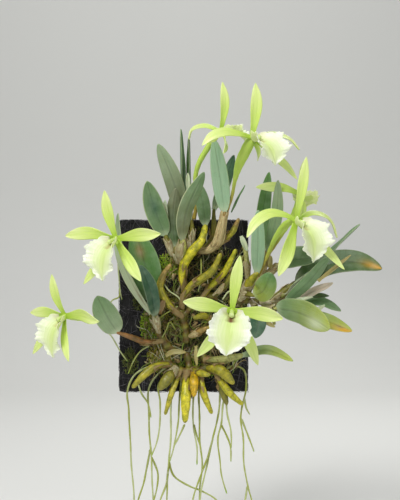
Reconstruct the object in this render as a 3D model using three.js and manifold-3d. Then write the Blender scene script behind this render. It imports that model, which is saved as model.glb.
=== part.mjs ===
import * as THREE from 'three';
import { mergeVertices } from 'three/addons/utils/BufferGeometryUtils.js';
import Module from 'manifold-3d';

// An orchid in flower, grown on a hanging slab of tree-fern fibre.
// Millimetres, +X right, +Y towards the wall, +Z up. The origin is the middle of
// the slab's flat back face.

// Sizes of the made things, in mm
const SLAB = { width: 152, thick: 30, height: 203, relief: 3.4, ragged: 2.2, columns: 10, rows: 12 };
const HANGER = { wire: 2.2, span: 17, sunk: 12, rise: 24, behindFront: 13, steps: 12, sides: 6 };

// Gap that parts of the plant keep from each other where they touch, in mm
const GAP = 0.3;

// How far a surface may move when slivers are cleared away, in mm
const SLIVER = 0.3;

// Thicknesses of the blades, in mm
const LEAF = { middle: 1.7, edge: 0.9, foot: 6, rows: 6 };
const TEPAL = { thick: 0.95, rows: 4, columns: 2, hub: 3.8, start: 2.6, cup: 0.1 };
const LIP = {
  thick: 0.8,
  rows: 9,
  columns: 6,
  start: 3.8,
  throat: 4.35,
  room: 0.5,
  frill: 2.2,
  frills: 3.5,
};
const COLUMN = { reach: 13, foot: 2.3, head: 2.9 };
const ROOT = { width: 2.5, sides: 4 };

// A bulb's outline: its foot and neck as shares of its thickness, and where it is thickest
const BULB = { foot: 0.62, neck: 0.58, peak: 0.55 };

// Places are seen from straight in front and written [across, down, out]: across and
// down in the picture's pixels, out in mm in front of the slab. The eye stands 950 mm
// in front of the slab, and a pixel is 1.18 mm there, so nearer places are smaller.
const PICTURE = {
  mmPerPixel: 1.18,
  middleAcross: 200,
  middleDown: 250,
  middleX: 19.5,
  middleZ: 66,
  eye: 950,
};

function place([across, down, out]) {
  const scale = PICTURE.mmPerPixel * (PICTURE.eye - out) / PICTURE.eye;
  return new THREE.Vector3(
    PICTURE.middleX + (across - PICTURE.middleAcross) * scale,
    -SLAB.thick - out,
    PICTURE.middleZ - (down - PICTURE.middleDown) * scale,
  );
}

// Colours and finishes
const FINISH = {
  fibre: { color: 0x1f1d1e, roughness: 0.95, metalness: 0 },
  wire: { color: 0x8f9296, roughness: 0.4, metalness: 0.9 },
  bulb: { color: 0xb0ae30, roughness: 0.55, metalness: 0 },
  leaf: { color: 0x6f8f66, roughness: 0.6, metalness: 0 },
  tepal: { color: 0xcfe463, roughness: 0.5, metalness: 0 },
  lip: { color: 0xeef5cf, roughness: 0.6, metalness: 0 },
  root: { color: 0xa9b072, roughness: 0.7, metalness: 0 },
};

// Ways that the upper side of a leaf faces
const FRONT = [0, -1, 0];
const FRONT_UP = [0, -1, 0.6];
const FRONT_DOWN = [0, -1, -0.5];
const FRONT_RIGHT = [0.7, -1, 0];
const FRONT_LEFT = [-0.8, -0.7, 0];
const LEFT = [-1, -0.22, 0];
const RIGHT = [1, -0.22, 0];
const UP = [0, -0.25, 1];

// Creeping stems: the ones that carry each lead's growths, flat against the slab
const STEMS = {
  upper: [
    { along: [[186, 302, 3], [184, 285, 3], [184, 266, 3], [190, 255, 4], [203, 250, 4]], thick: 8 },
    { along: [[184, 268, 3], [178, 262, 4], [172, 262, 4]], thick: 8 },
  ],
  middle: [
    { along: [[181, 308, 3], [183, 318, 3], [186, 332, 3], [186, 344, 4]], thick: 8.5 },
    { along: [[190, 337, 3], [200, 331, 3], [214, 322, 4], [226, 312, 4]], thick: 8 },
    { along: [[183, 316, 3], [194, 304, 3], [206, 296, 4], [218, 296, 4]], thick: 7.5 },
  ],
  left: [
    { along: [[176, 352, 3], [166, 344, 3], [159, 333, 3], [154, 320, 4], [152, 306, 5]], thick: 9 },
  ],
  right: [
    { along: [[228, 303, 3], [240, 300, 4], [254, 301, 5], [268, 303, 7], [282, 304, 13]], thick: 8 },
    { along: [[243, 300, 4], [250, 288, 5], [258, 280, 7]], thick: 8 },
  ],
  lower: [
    { along: [[166, 358, 4], [173, 367, 6], [184, 371, 7], [196, 370, 7], [210, 369, 7], [222, 374, 7]],
      thick: 9 },
    { along: [[190, 369, 6], [188, 360, 4], [187, 352, 3]], thick: 8 },
    { along: [[206, 368, 6], [204, 358, 6], [201, 350, 4]], thick: 7 },
  ],
};

// Growths: a bulb along its picture places from foot to neck, its thickness, and the
// leaf that stands on it
const GROWTHS = [
  // upper lead
  { lead: 'upper', bulb: [[176, 262, 7], [171, 250, 14], [165, 234, 20]], thick: 8,
    leaf: { name: 'leaf_top_1', along: [[155, 210, 33], [147, 181, 48]],
      width: 23, face: FRONT, channel: 0.35 } },
  { lead: 'upper', bulb: [[181, 263, 7], [182, 240, 12], [183, 217, 18]], thick: 7,
    leaf: { name: 'leaf_top_2', along: [[173, 180, 27], [158, 144, 36]],
      width: 21, face: FRONT_DOWN, channel: -0.12 } },
  { lead: 'upper', bulb: [[178, 263, 8], [176, 255, 13], [175, 246, 17]], thick: 7,
    leaf: { name: 'leaf_top_3', along: [[173, 215, 27], [176, 188, 34]],
      width: 17, face: FRONT, channel: -0.2 } },
  { lead: 'upper', bulb: [[182, 263, 10], [181, 252, 20], [183, 239, 30]], thick: 13,
    leaf: { name: 'leaf_top_4', along: [[186, 212, 48], [204, 172, 62]],
      width: 21, face: FRONT_RIGHT, channel: -0.15 } },
  { lead: 'upper', bulb: [[187, 262, 6], [188, 245, 7], [187, 226, 8]], thick: 6,
    leaf: { name: 'leaf_top_5', along: [[182, 180, 11], [181, 129, 20]],
      width: 17, face: RIGHT, channel: 0.3 } },
  { lead: 'upper', bulb: [[191, 256, 7], [192, 236, 9], [192, 218, 11]], thick: 6,
    leaf: { name: 'leaf_top_6', along: [[190, 180, 15], [189, 137, 27]],
      width: 17, face: LEFT, channel: 0.3 } },
  { lead: 'upper',
    bulb: [[184, 290, 6], [182, 277, 12], [185, 262, 18], [193, 250, 22], [201, 241, 24], [206, 224, 24]],
    thick: 11.5,
    leaf: { name: 'leaf_top_7', along: [[203, 204, 30], [197, 181, 38]],
      width: 16, face: FRONT, channel: 0.1 } },
  { lead: 'upper',
    bulb: [[200, 251, 8], [209, 250, 17], [218, 241, 26], [222, 226, 34], [225, 211, 40]], thick: 11,
    leaf: { name: 'leaf_top_8', along: [[220, 178, 50], [214, 139, 60]],
      width: 19, face: FRONT, channel: 0.12 } },
  { lead: 'upper', bulb: [[202, 250, 7], [212, 238, 10], [214, 208, 14]], thick: 6.5,
    leaf: { name: 'leaf_top_9', along: [[224, 185, 20], [234, 155, 28]],
      width: 14, face: FRONT, channel: 0.2 } },
  { lead: 'upper', bulb: [[221, 243, 24], [227, 238, 25], [233, 231, 26], [239, 218, 28]], thick: 7 },
  // middle lead
  { lead: 'middle',
    bulb: [[182, 308, 6], [183, 298, 11], [191, 286, 16], [201, 279, 20], [212, 271, 25], [221, 253, 28]],
    thick: 9.5 },
  { lead: 'middle',
    bulb: [[201, 299, 6], [211, 286, 12], [224, 272, 17], [231, 260, 21], [236, 249, 24]], thick: 8 },
  { lead: 'middle',
    bulb: [[183, 317, 8], [175, 311, 12], [165, 299, 14], [160, 287, 16], [164, 274, 19], [171, 264, 21]],
    thick: 9 },
  { lead: 'middle', bulb: [[214, 296, 7], [226, 284, 13], [237, 268, 18], [243, 256, 22]], thick: 8 },
  { lead: 'middle', bulb: [[213, 323, 7], [204, 316, 18], [193, 318, 26]], thick: 8 },
  { lead: 'middle', bulb: [[224, 313, 7], [217, 330, 18], [211, 342, 26]], thick: 8.5 },
  { lead: 'middle', bulb: [[190, 336, 7], [197, 333, 16], [208, 327, 24]], thick: 7 },
  // left lead
  { lead: 'left', bulb: [[163, 341, 7], [147, 342, 12], [128, 336, 24], [116, 332, 30]], thick: 7,
    leaf: { name: 'leaf_left_1', along: [[108, 318, 40], [97, 296, 52]],
      width: 28, face: FRONT, channel: 0.12 } },
  { lead: 'left', bulb: [[159, 332, 7], [157, 325, 14], [155, 315, 19]], thick: 8,
    leaf: { name: 'leaf_left_2', along: [[150, 290, 34], [140, 265, 46]],
      width: 18, face: FRONT_RIGHT, channel: 0.3 } },
  { lead: 'left', bulb: [[156, 325, 6], [153, 320, 9], [151, 313, 11]], thick: 6,
    leaf: { name: 'leaf_left_3', along: [[133, 284, 22], [121, 255, 32], [118, 213, 40]],
      width: 17, face: FRONT_LEFT, channel: 0.3 } },
  { lead: 'left', bulb: [[153, 314, 6], [152, 306, 8], [151, 299, 10]], thick: 6,
    leaf: { name: 'leaf_left_4', along: [[145, 265, 18], [135, 231, 26]],
      width: 35, face: FRONT, channel: 0.1 } },
  // right lead
  { lead: 'right', bulb: [[252, 287, 8], [258, 270, 12], [262, 252, 15]], thick: 6,
    leaf: { name: 'leaf_right_1', along: [[263, 215, 20], [269, 172, 28]],
      width: 16, face: FRONT, channel: 0.25 } },
  { lead: 'right', bulb: [[242, 298, 9], [248, 285, 19], [258, 272, 28]], thick: 10.5,
    leaf: { name: 'leaf_right_2', along: [[258, 245, 38], [258, 210, 48]],
      width: 16, face: FRONT, channel: 0.1 } },
  { lead: 'right', bulb: [[258, 281, 10], [264, 266, 15], [268, 251, 21]], thick: 7.5,
    leaf: { name: 'leaf_right_3', along: [[277, 212, 40], [278, 180, 52]],
      width: 14, face: FRONT, channel: -0.1 } },
  { lead: 'right', bulb: [[240, 300, 10], [246, 294, 22], [255, 296, 34]], thick: 6.5,
    leaf: { name: 'leaf_right_4', along: [[263, 291, 44], [271, 273, 54]],
      width: 25, face: FRONT, channel: -0.15 } },
  { lead: 'right', bulb: [[256, 283, 10], [268, 274, 14], [282, 262, 19]], thick: 8,
    leaf: { name: 'leaf_right_5', along: [[302, 259, 34], [322, 257, 46]],
      width: 28, face: FRONT_UP, channel: 0.45 } },
  { lead: 'right', bulb: [[266, 302, 8], [281, 294, 9], [297, 281, 12]], thick: 9,
    leaf: { name: 'leaf_right_6', along: [[326, 265, 20], [355, 262, 28], [382, 269, 36]],
      width: 31, face: FRONT_UP, channel: 0.2 } },
  { lead: 'right', bulb: [[268, 303, 12], [277, 305, 26], [286, 304, 36]], thick: 9,
    leaf: { name: 'leaf_right_7', along: [[308, 282, 48], [330, 256, 58]],
      width: 15, face: FRONT_DOWN, channel: -0.2 } },
  { lead: 'right', bulb: [[272, 301, 11], [280, 297, 20], [287, 294, 26]], thick: 7,
    leaf: { name: 'leaf_right_8', along: [[297, 282, 33], [309, 272, 40]],
      width: 12, face: UP, channel: 0.2 } },
  { lead: 'right', bulb: [[276, 298, 9], [292, 288, 5], [306, 276, 1]], thick: 7,
    leaf: { name: 'leaf_right_9', along: [[336, 247, 6], [360, 224, 15]],
      width: 15, face: UP, channel: 0.2 } },
  { lead: 'right', bulb: [[279, 303, 14], [288, 301, 24], [297, 300, 30]], thick: 7,
    leaf: { name: 'leaf_right_10', along: [[315, 291, 38], [333, 283, 45]],
      width: 10, face: FRONT_UP, channel: 0.2 } },
  { lead: 'right', bulb: [[281, 304, 12], [292, 304, 17], [302, 302, 21]], thick: 6.5,
    leaf: { name: 'leaf_right_11', along: [[322, 302, 28], [341, 311, 36]],
      width: 12, face: FRONT_UP, channel: 0.2 } },
  { lead: 'right', bulb: [[262, 302, 9], [268, 307, 24], [277, 308, 38]], thick: 10,
    leaf: { name: 'leaf_right_12', along: [[303, 314, 54], [330, 329, 68]],
      width: 32, face: FRONT_DOWN, channel: -0.12 } },
  { lead: 'right', bulb: [[275, 304, 11], [284, 310, 20], [293, 313, 26]], thick: 8,
    leaf: { name: 'leaf_right_13', along: [[322, 320, 38], [352, 331, 46]],
      width: 19, face: FRONT_UP, channel: 0.2 } },
  { lead: 'right', bulb: [[251, 301, 8], [255, 306, 16], [258, 310, 22]], thick: 7,
    leaf: { name: 'leaf_right_14', along: [[258, 323, 30], [255, 338, 36]],
      width: 19, face: FRONT, channel: 0.15 } },
  { lead: 'right', bulb: [[270, 303, 9], [271, 314, 14], [275, 325, 19]], thick: 6 },
  { lead: 'right', bulb: [[249, 290, 8], [247, 268, 18], [246, 254, 24], [241, 237, 28]], thick: 6 },
  // lower lead
  { lead: 'lower', bulb: [[170, 364, 8], [156, 366, 15], [145, 374, 19], [132, 388, 24]], thick: 9.5 },
  { lead: 'lower', bulb: [[176, 368, 9], [169, 377, 19], [159, 390, 24]], thick: 13 },
  { lead: 'lower', bulb: [[181, 371, 9], [172, 392, 20], [165, 415, 25]], thick: 7 },
  { lead: 'lower', bulb: [[187, 371, 9], [186, 393, 23], [185, 423, 28]], thick: 12 },
  { lead: 'lower', bulb: [[194, 370, 9], [194, 382, 24], [194, 397, 30]], thick: 10.5 },
  { lead: 'lower', bulb: [[200, 370, 9], [203, 391, 19], [212, 414, 25]], thick: 8.5 },
  { lead: 'lower', bulb: [[192, 369, 9], [200, 373, 21], [210, 375, 32]], thick: 8 },
  { lead: 'lower', bulb: [[206, 368, 11], [221, 371, 22], [234, 384, 27]], thick: 12.5 },
  { lead: 'lower', bulb: [[214, 370, 11], [228, 391, 20], [243, 405, 24]], thick: 9 },
  { lead: 'lower', bulb: [[218, 373, 10], [222, 388, 13], [227, 405, 16]], thick: 10 },
  { lead: 'lower', bulb: [[204, 360, 10], [224, 359, 20], [244, 355, 27]], thick: 9.5,
    leaf: { name: 'leaf_right_15', along: [[268, 350, 38], [293, 361, 46]],
      width: 12, face: FRONT_UP, channel: 0.2 } },
];

// Flowers: middle, the way it faces (turned right of straight out and tilted up, in
// degrees), the tepals (dorsal, left and right petal, left and right sepal: tip, width in
// mm, places on the way, and the way it faces if not with the flower), the lip's reach and
// drop in mm, the stalk's thickest and thinnest radius in mm, and its places from the
// middle back to its growth
const FLOWERS = [
  { name: 'flower_left_low', middle: [65, 316, 75], turn: -46, tilt: -16,
    tepals: [
      { tip: [51, 275, 92], width: 10.5, via: [[56.5, 297, 84]], face: [-0.4, -1, 0] },
      { tip: [30, 313, 52], width: 12.5, via: [[47, 312, 63]] },
      { tip: [98, 322, 112], width: 14.5, via: [[82, 315, 93]] },
      { tip: [32, 354, 54], width: 10, via: [] },
      { tip: [67.5, 361, 108], width: 10.5, via: [[65, 340, 92]], face: [-0.5, -1, 0] },
    ],
    lip: { reach: 25, drop: 39, size: 0.88 }, girth: [3.4, 2.3],
    stalk: [[80, 318, 56], [95, 319, 36], [107, 324, 26], [119, 333, 25]] },
  { name: 'flower_left_high', middle: [116, 239, 80], turn: -40, tilt: -12,
    tepals: [
      { tip: [104, 191, 97], width: 13, via: [[108.5, 213, 89]], face: [-0.35, -1, 0] },
      { tip: [65, 236, 60], width: 14.5, via: [[90, 233, 70]] },
      { tip: [160, 234, 112], width: 14.5, via: [[138, 235, 97]] },
      { tip: [83, 284, 66], width: 11, via: [[98, 266, 72]] },
      { tip: [140.5, 281, 104], width: 14, via: [[130, 263, 93]], face: [-0.35, -1, 0] },
    ],
    lip: { reach: 27, drop: 40, size: 0.94 }, girth: [3.4, 2.3],
    stalk: [[124, 252, 62], [135, 268, 46], [147, 284, 28], [152, 300, 20], [155, 313, 16]] },
  { name: 'flower_top_left', middle: [221, 131, 52], turn: 80, tilt: 14,
    tepals: [
      { tip: [223, 82, 60], width: 11, via: [[224.5, 104, 57]], face: [0.45, -1, 0] },
      { tip: [206, 141, 86], width: 11, via: [] },
      { tip: [188, 139, 30], width: 11.5, via: [[205, 126, 43], [193, 130, 36]], face: [-0.2, -0.7, 1] },
      { tip: [225, 153, 84], width: 10, via: [] },
      { tip: [226, 150, 28], width: 10, via: [] },
    ],
    lip: { reach: 26, drop: 32, size: 0.88 }, girth: [3.4, 2.3],
    stalk: [[214, 138, 47], [207, 149, 42], [200, 161, 38], [196, 173, 32], [195, 190, 26], [196, 206, 20],
      [194, 219, 14]] },
  { name: 'flower_top_right', middle: [252, 138, 88], turn: 42, tilt: 4,
    tepals: [
      { tip: [256, 83, 98], width: 13.5, via: [[256, 105, 94]], face: [0.35, -1, 0] },
      { tip: [202, 145, 118], width: 11.5, via: [[239, 134, 97], [225, 132, 106], [212, 136, 114]],
        face: [0.1, -1, 0.5] },
      { tip: [300, 149, 56], width: 11, via: [[272, 134, 74], [288, 139, 62]], face: [0.5, -0.6, 1] },
      { tip: [259, 161, 54], width: 9, via: [] },
      { tip: [298, 179, 78], width: 11, via: [[272, 154, 82], [286, 166, 79]] },
    ],
    lip: { reach: 29, drop: 34, size: 0.98 }, girth: [6, 1.9],
    stalk: [[246, 150, 80], [239, 165, 68], [235, 180, 55], [232, 196, 41], [227, 211, 35]] },
  { name: 'flower_right_high', middle: [301, 194, 48], turn: 160, tilt: 15,
    tepals: [
      { tip: [305, 160, 34], width: 11, via: [] },
      { tip: [316, 203, 20], width: 10, via: [] },
      { tip: [256, 187, 36], width: 11.5, via: [[284, 188, 42], [270, 187, 38]], face: [0, -1, 0.2] },
      { tip: [302, 219, 34], width: 10, via: [] },
      { tip: [296, 219, 36], width: 10, via: [] },
    ],
    lip: { reach: 23, drop: 20, size: 0.66 }, girth: [3.4, 2.3],
    stalk: [[297, 206, 44], [291, 220, 34], [282, 234, 25], [274, 246, 17], [267, 256, 15]] },
  { name: 'flower_right_low', middle: [296, 221, 96], turn: 42, tilt: -8,
    tepals: [
      { tip: [307, 157, 106], width: 12, via: [[302, 186, 102]], face: [0.35, -1, 0] },
      { tip: [247, 237, 122], width: 12, via: [[284, 215, 101], [270, 213.5, 109], [256, 222, 117]],
        face: [0.1, -1, 0.5] },
      { tip: [338, 237, 62], width: 11, via: [[312, 213, 84], [328, 219, 71]], face: [0.5, -0.6, 1] },
      { tip: [279, 276, 112], width: 15, via: [[288, 250, 105]], face: [0.3, -1, 0] },
      { tip: [345, 269, 92], width: 11, via: [[322, 246, 90]] },
    ],
    lip: { reach: 30, drop: 40, size: 1 }, girth: [3.8, 2.3],
    stalk: [[286, 224, 76], [276, 237, 56], [269, 252, 37], [262, 267, 26], [258, 276, 22]] },
  { name: 'flower_front', middle: [232, 311, 72], turn: -4, tilt: -14,
    tepals: [
      { tip: [240, 256, 86], width: 13, via: [[235.5, 284, 80]] },
      { tip: [183, 302, 68], width: 16.5, via: [[208, 305, 72]] },
      { tip: [283, 319, 72], width: 16.5, via: [[262, 313.5, 74]] },
      { tip: [197, 357, 60], width: 13, via: [[213, 338, 64]] },
      { tip: [258, 365.5, 62], width: 13, via: [[249, 342, 66]] },
    ],
    lip: { reach: 27, drop: 42, size: 1 }, girth: [3.4, 2.3],
    stalk: [[229, 316, 55], [220, 322, 38], [212, 326, 26], [205, 329, 20]] },
];

// Aerial roots, each bunch one branching set: over the slab's lower edge and down
const ROOTS = [
  { name: 'roots_1', strands: [
    [[166, 364, 5], [150, 366, 1], [134, 376, 1], [127, 392, 4], [129, 410, 8], [130, 440, 8],
      [132, 470, 9], [134, 500, 9], [135, 528, 10]],
  ] },
  { name: 'roots_2', strands: [
    [[168, 366, 5], [158, 374, 1], [149, 389, 2], [149, 420, 7], [151, 455, 9], [153, 500, 9],
      [152, 541, 10]],
    [[138, 384, 1], [142, 394, 3], [148, 403, 5], [151, 418, 7]],
    [[150, 449, 9], [147, 468, 9], [144, 482, 9], [138, 500, 10], [136, 517, 10]],
    [[172, 367, 5], [163, 377, 1], [158, 387, 3], [160, 402, 7], [160, 424, 9], [156, 444, 9],
      [151, 457, 9]],
    [[151, 456, 9], [155, 464, 9], [158, 473, 10], [157, 486, 10], [153, 503, 9]],
  ] },
  { name: 'roots_3', strands: [
    [[176, 370, 5], [172, 384, 2], [171, 402, 6], [171, 427, 9], [169, 462, 9], [167, 486, 9],
      [167, 522, 10]],
    [[169, 466, 9], [166, 484, 10], [160, 502, 11], [159, 530, 12]],
    [[183, 371, 5], [181, 386, 2], [179, 402, 6], [178, 425, 9], [174, 446, 9], [169, 463, 9]],
    [[169, 461, 9], [174, 476, 10], [189, 486, 12], [202, 491, 13.4], [217, 501, 13], [222, 519, 13]],
    [[185, 424, 9], [180, 434, 9], [174, 446, 9]],
  ] },
  { name: 'roots_4', strands: [
    [[194, 371, 5], [194, 386, 2], [193, 402, 6], [194, 430, 9], [197, 450, 9], [197, 465, 10]],
    [[199, 371, 5], [199, 386, 2], [199, 402, 6], [200, 440, 9], [202, 465, 9], [200, 490, 10],
      [199, 535, 11]],
    [[194, 424, 9], [197, 436, 9], [200, 446, 9]],
  ] },
  { name: 'roots_5', strands: [
    [[214, 370, 5], [219, 382, 1], [220, 400, 5], [217, 420, 9], [211, 447, 9], [208, 460, 11],
      [204, 478, 15], [200, 500, 18], [197, 530, 19]],
    [[213, 438, 9], [209, 454, 13], [201, 474, 16], [193, 500, 15], [191, 515, 15]],
  ] },
  { name: 'roots_6', strands: [
    [[222, 373, 5], [226, 386, 1], [223, 406, 5], [221, 424, 8], [218, 437, 9], [220, 460, 9],
      [221, 474, 9], [227, 494, 9]],
    [[225, 384, 1], [227, 412, 5], [231, 430, 8], [231, 449, 9]],
    [[221, 424, 8], [226, 434, 9], [230, 446, 9], [231, 462, 9]],
  ] },
  { name: 'roots_7', strands: [
    [[222, 372, 5], [233, 366, 1], [244, 370, 1], [246, 386, 2], [242, 408, 7], [241, 420, 8],
      [243, 438, 9], [244, 462, 9], [248, 488, 9], [252, 502, 9], [253, 524, 9]],
    [[241, 418, 8], [247, 432, 9], [254, 452, 9]],
    [[247, 486, 9], [245, 500, 10], [243, 512, 10]],
    [[244, 396, 4], [246, 408, 7], [250, 415, 8]],
  ] },
];

// Solids: closed meshes joined and cut
const wasm = await Module();
wasm.setup();

function toSolid(geometry) {
  const bare = geometry.clone();
  bare.deleteAttribute('normal');
  bare.deleteAttribute('uv');
  const welded = mergeVertices(bare, 1e-4);
  return new wasm.Manifold(new wasm.Mesh({
    numProp: 3,
    vertProperties: Float32Array.from(welded.attributes.position.array),
    triVerts: Uint32Array.from(welded.index.array),
  }));
}

function toGeometry(solid) {
  const { vertProperties, triVerts } = solid.getMesh();
  const geometry = new THREE.BufferGeometry();
  geometry.setAttribute('position', new THREE.BufferAttribute(vertProperties, 3));
  geometry.setIndex(new THREE.BufferAttribute(triVerts, 1));
  geometry.computeVertexNormals();
  return geometry;
}

function joined(solids) {
  return solids.reduce((whole, solid) => whole.add(solid));
}

function largestPiece(solid) {
  const pieces = solid.decompose();
  pieces.sort((a, b) => b.volume() - a.volume());
  return pieces[0];
}

// One body without the loose scraps, closed hollows and slivers that joins and cuts leave
function oneBody(solid) {
  return largestPiece(largestPiece(solid).simplify(SLIVER));
}

function meshGeometry(points, triangles) {
  const geometry = new THREE.BufferGeometry();
  const numbers = points.flatMap((point) => [point.x, point.y, point.z]);
  geometry.setAttribute('position', new THREE.Float32BufferAttribute(numbers, 3));
  geometry.setIndex(triangles);
  return geometry;
}

function smooth(t) {
  return t * t * (3 - 2 * t);
}

// A closed round rod along places, its radius given along the way
function rod(points, radiusAt, sides, steps, grow = 0) {
  const curve = new THREE.CatmullRomCurve3(points, false, 'centripetal');
  const frames = curve.computeFrenetFrames(steps, false);
  const vertices = [];
  const triangles = [];
  for (let i = 0; i <= steps; i += 1) {
    const middle = curve.getPointAt(i / steps);
    if (i === 0) middle.addScaledVector(frames.tangents[0], -grow);
    if (i === steps) middle.addScaledVector(frames.tangents[steps], grow);
    const radius = radiusAt(i / steps) + grow;
    for (let k = 0; k < sides; k += 1) {
      const angle = (2 * Math.PI * k) / sides;
      const vertex = middle.clone();
      vertex.addScaledVector(frames.normals[i], radius * Math.cos(angle));
      vertex.addScaledVector(frames.binormals[i], radius * Math.sin(angle));
      vertices.push(vertex);
    }
  }
  for (let i = 0; i < steps; i += 1) {
    for (let k = 0; k < sides; k += 1) {
      const a = i * sides + k;
      const b = i * sides + ((k + 1) % sides);
      triangles.push(a, b, b + sides, a, b + sides, a + sides);
    }
  }
  for (let k = 1; k < sides - 1; k += 1) {
    const last = steps * sides;
    triangles.push(0, k + 1, k);
    triangles.push(last, last + k, last + k + 1);
  }
  return toSolid(meshGeometry(vertices, triangles));
}

// A closed blade: rows of points across a curved sheet, thickened to both sides and
// split into triangles alike on both faces
function sheet(rows, halfThickness) {
  const last = rows.length - 1;
  const width = rows[0].length;
  const upper = [];
  const lower = [];
  rows.forEach((row, i) => {
    row.forEach((point, j) => {
      const along = rows[Math.min(i + 1, last)][j].clone().sub(rows[Math.max(i - 1, 0)][j]);
      const across = row[Math.min(j + 1, width - 1)].clone().sub(row[Math.max(j - 1, 0)]);
      const normal = across.cross(along).normalize();
      const half = halfThickness(i / last, (2 * j) / (width - 1) - 1);
      upper.push(point.clone().addScaledVector(normal, half));
      lower.push(point.clone().addScaledVector(normal, -half));
    });
  });
  const count = upper.length;
  const triangles = [];
  const quad = (a, b, c, d) => triangles.push(a, b, c, a, c, d);
  for (let i = 0; i < last; i += 1) {
    for (let j = 0; j < width - 1; j += 1) {
      const a = i * width + j;
      const b = a + 1;
      const c = b + width;
      const d = a + width;
      quad(a, b, c, d);
      triangles.push(count + a, count + c, count + b, count + a, count + d, count + c);
    }
  }
  for (let i = 0; i < last; i += 1) {
    const left = i * width;
    const right = left + width - 1;
    quad(left, left + width, count + left + width, count + left);
    quad(right + width, right, count + right, count + right + width);
  }
  for (let j = 0; j < width - 1; j += 1) {
    const far = last * width + j;
    quad(j + 1, j, count + j, count + j + 1);
    quad(far, far + 1, count + far + 1, count + far);
  }
  return toSolid(meshGeometry([...upper, ...lower], triangles));
}

// A leaf or tepal along places: wide as its outline says, its sides lifted by channel
function blade({ points, width, face, outline, channel, halfThickness, rows, columns, spread }) {
  const curve = new THREE.CatmullRomCurve3(points, false, 'centripetal');
  const facing = new THREE.Vector3(...face).normalize();
  const grid = [];
  for (let i = 0; i <= rows; i += 1) {
    const u = spread(i / rows);
    const middle = curve.getPointAt(u);
    const tangent = curve.getTangentAt(u);
    const side = tangent.clone().cross(facing).normalize();
    const normal = side.clone().cross(tangent);
    const half = (width / 2) * outline(u);
    const row = [];
    for (let j = 0; j <= columns; j += 1) {
      const v = (2 * j) / columns - 1;
      const point = middle.clone().addScaledVector(side, v * half);
      point.addScaledVector(normal, channel * half * Math.abs(v) ** 1.4);
      row.push(point);
    }
    grid.push(row);
  }
  return sheet(grid, halfThickness);
}

// Growth outlines
function bulbRadius(thick) {
  const { foot, neck, peak } = BULB;
  return (u) => {
    if (u < peak) return (thick / 2) * (foot + (1 - foot) * smooth(u / peak));
    return (thick / 2) * (neck + (1 - neck) * (1 - smooth((u - peak) / (1 - peak))));
  };
}

function leafOutline(width) {
  return (u) => {
    const body = (1 - Math.abs(2 * u ** 0.86 - 1) ** 2.3) ** 0.62;
    const foot = (LEAF.foot / width) * (1 - smooth(Math.min(u / 0.3, 1)));
    return Math.max(body, foot, 0.13);
  };
}

function tepalOutline(u) {
  const peak = 0.58;
  if (u < peak) return 0.44 + 0.56 * smooth(u / peak);
  return Math.max(Math.cos((Math.PI / 2) * ((u - peak) / (1 - peak))) ** 0.7, 0.1);
}

// Radius of a flower's stalk: swollen behind the flower, thin at its foot
function stalkRadius([thickest, thinnest]) {
  return (u) => {
    const swell = smooth(Math.min((u + 0.06) / 0.16, 1));
    const shrink = smooth(Math.min(Math.max((u - 0.2) / 0.5, 0), 1));
    return thinnest + (thickest - thinnest) * swell * (1 - shrink);
  };
}

// Leads: creeping stem and bulbs of one lead, one body
function leadSolids(lead, grow) {
  const stems = STEMS[lead].map(({ along, thick }) => {
    const points = along.map(place);
    return rod(points, () => thick / 2, 5, along.length, grow);
  });
  const bulbs = GROWTHS.filter((growth) => growth.lead === lead).map(({ bulb, thick }) => {
    const points = bulb.map(place);
    return rod(points, bulbRadius(thick), thick > 8 ? 6 : 5, bulb.length > 3 ? 5 : 4, grow);
  });
  return joined([...stems, ...bulbs]);
}

const group = new THREE.Group();
group.name = 'orchid_on_slab';

function addPart(name, geometry, finish) {
  const part = new THREE.Mesh(geometry, new THREE.MeshStandardMaterial(FINISH[finish]));
  part.name = name;
  group.add(part);
}

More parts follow.
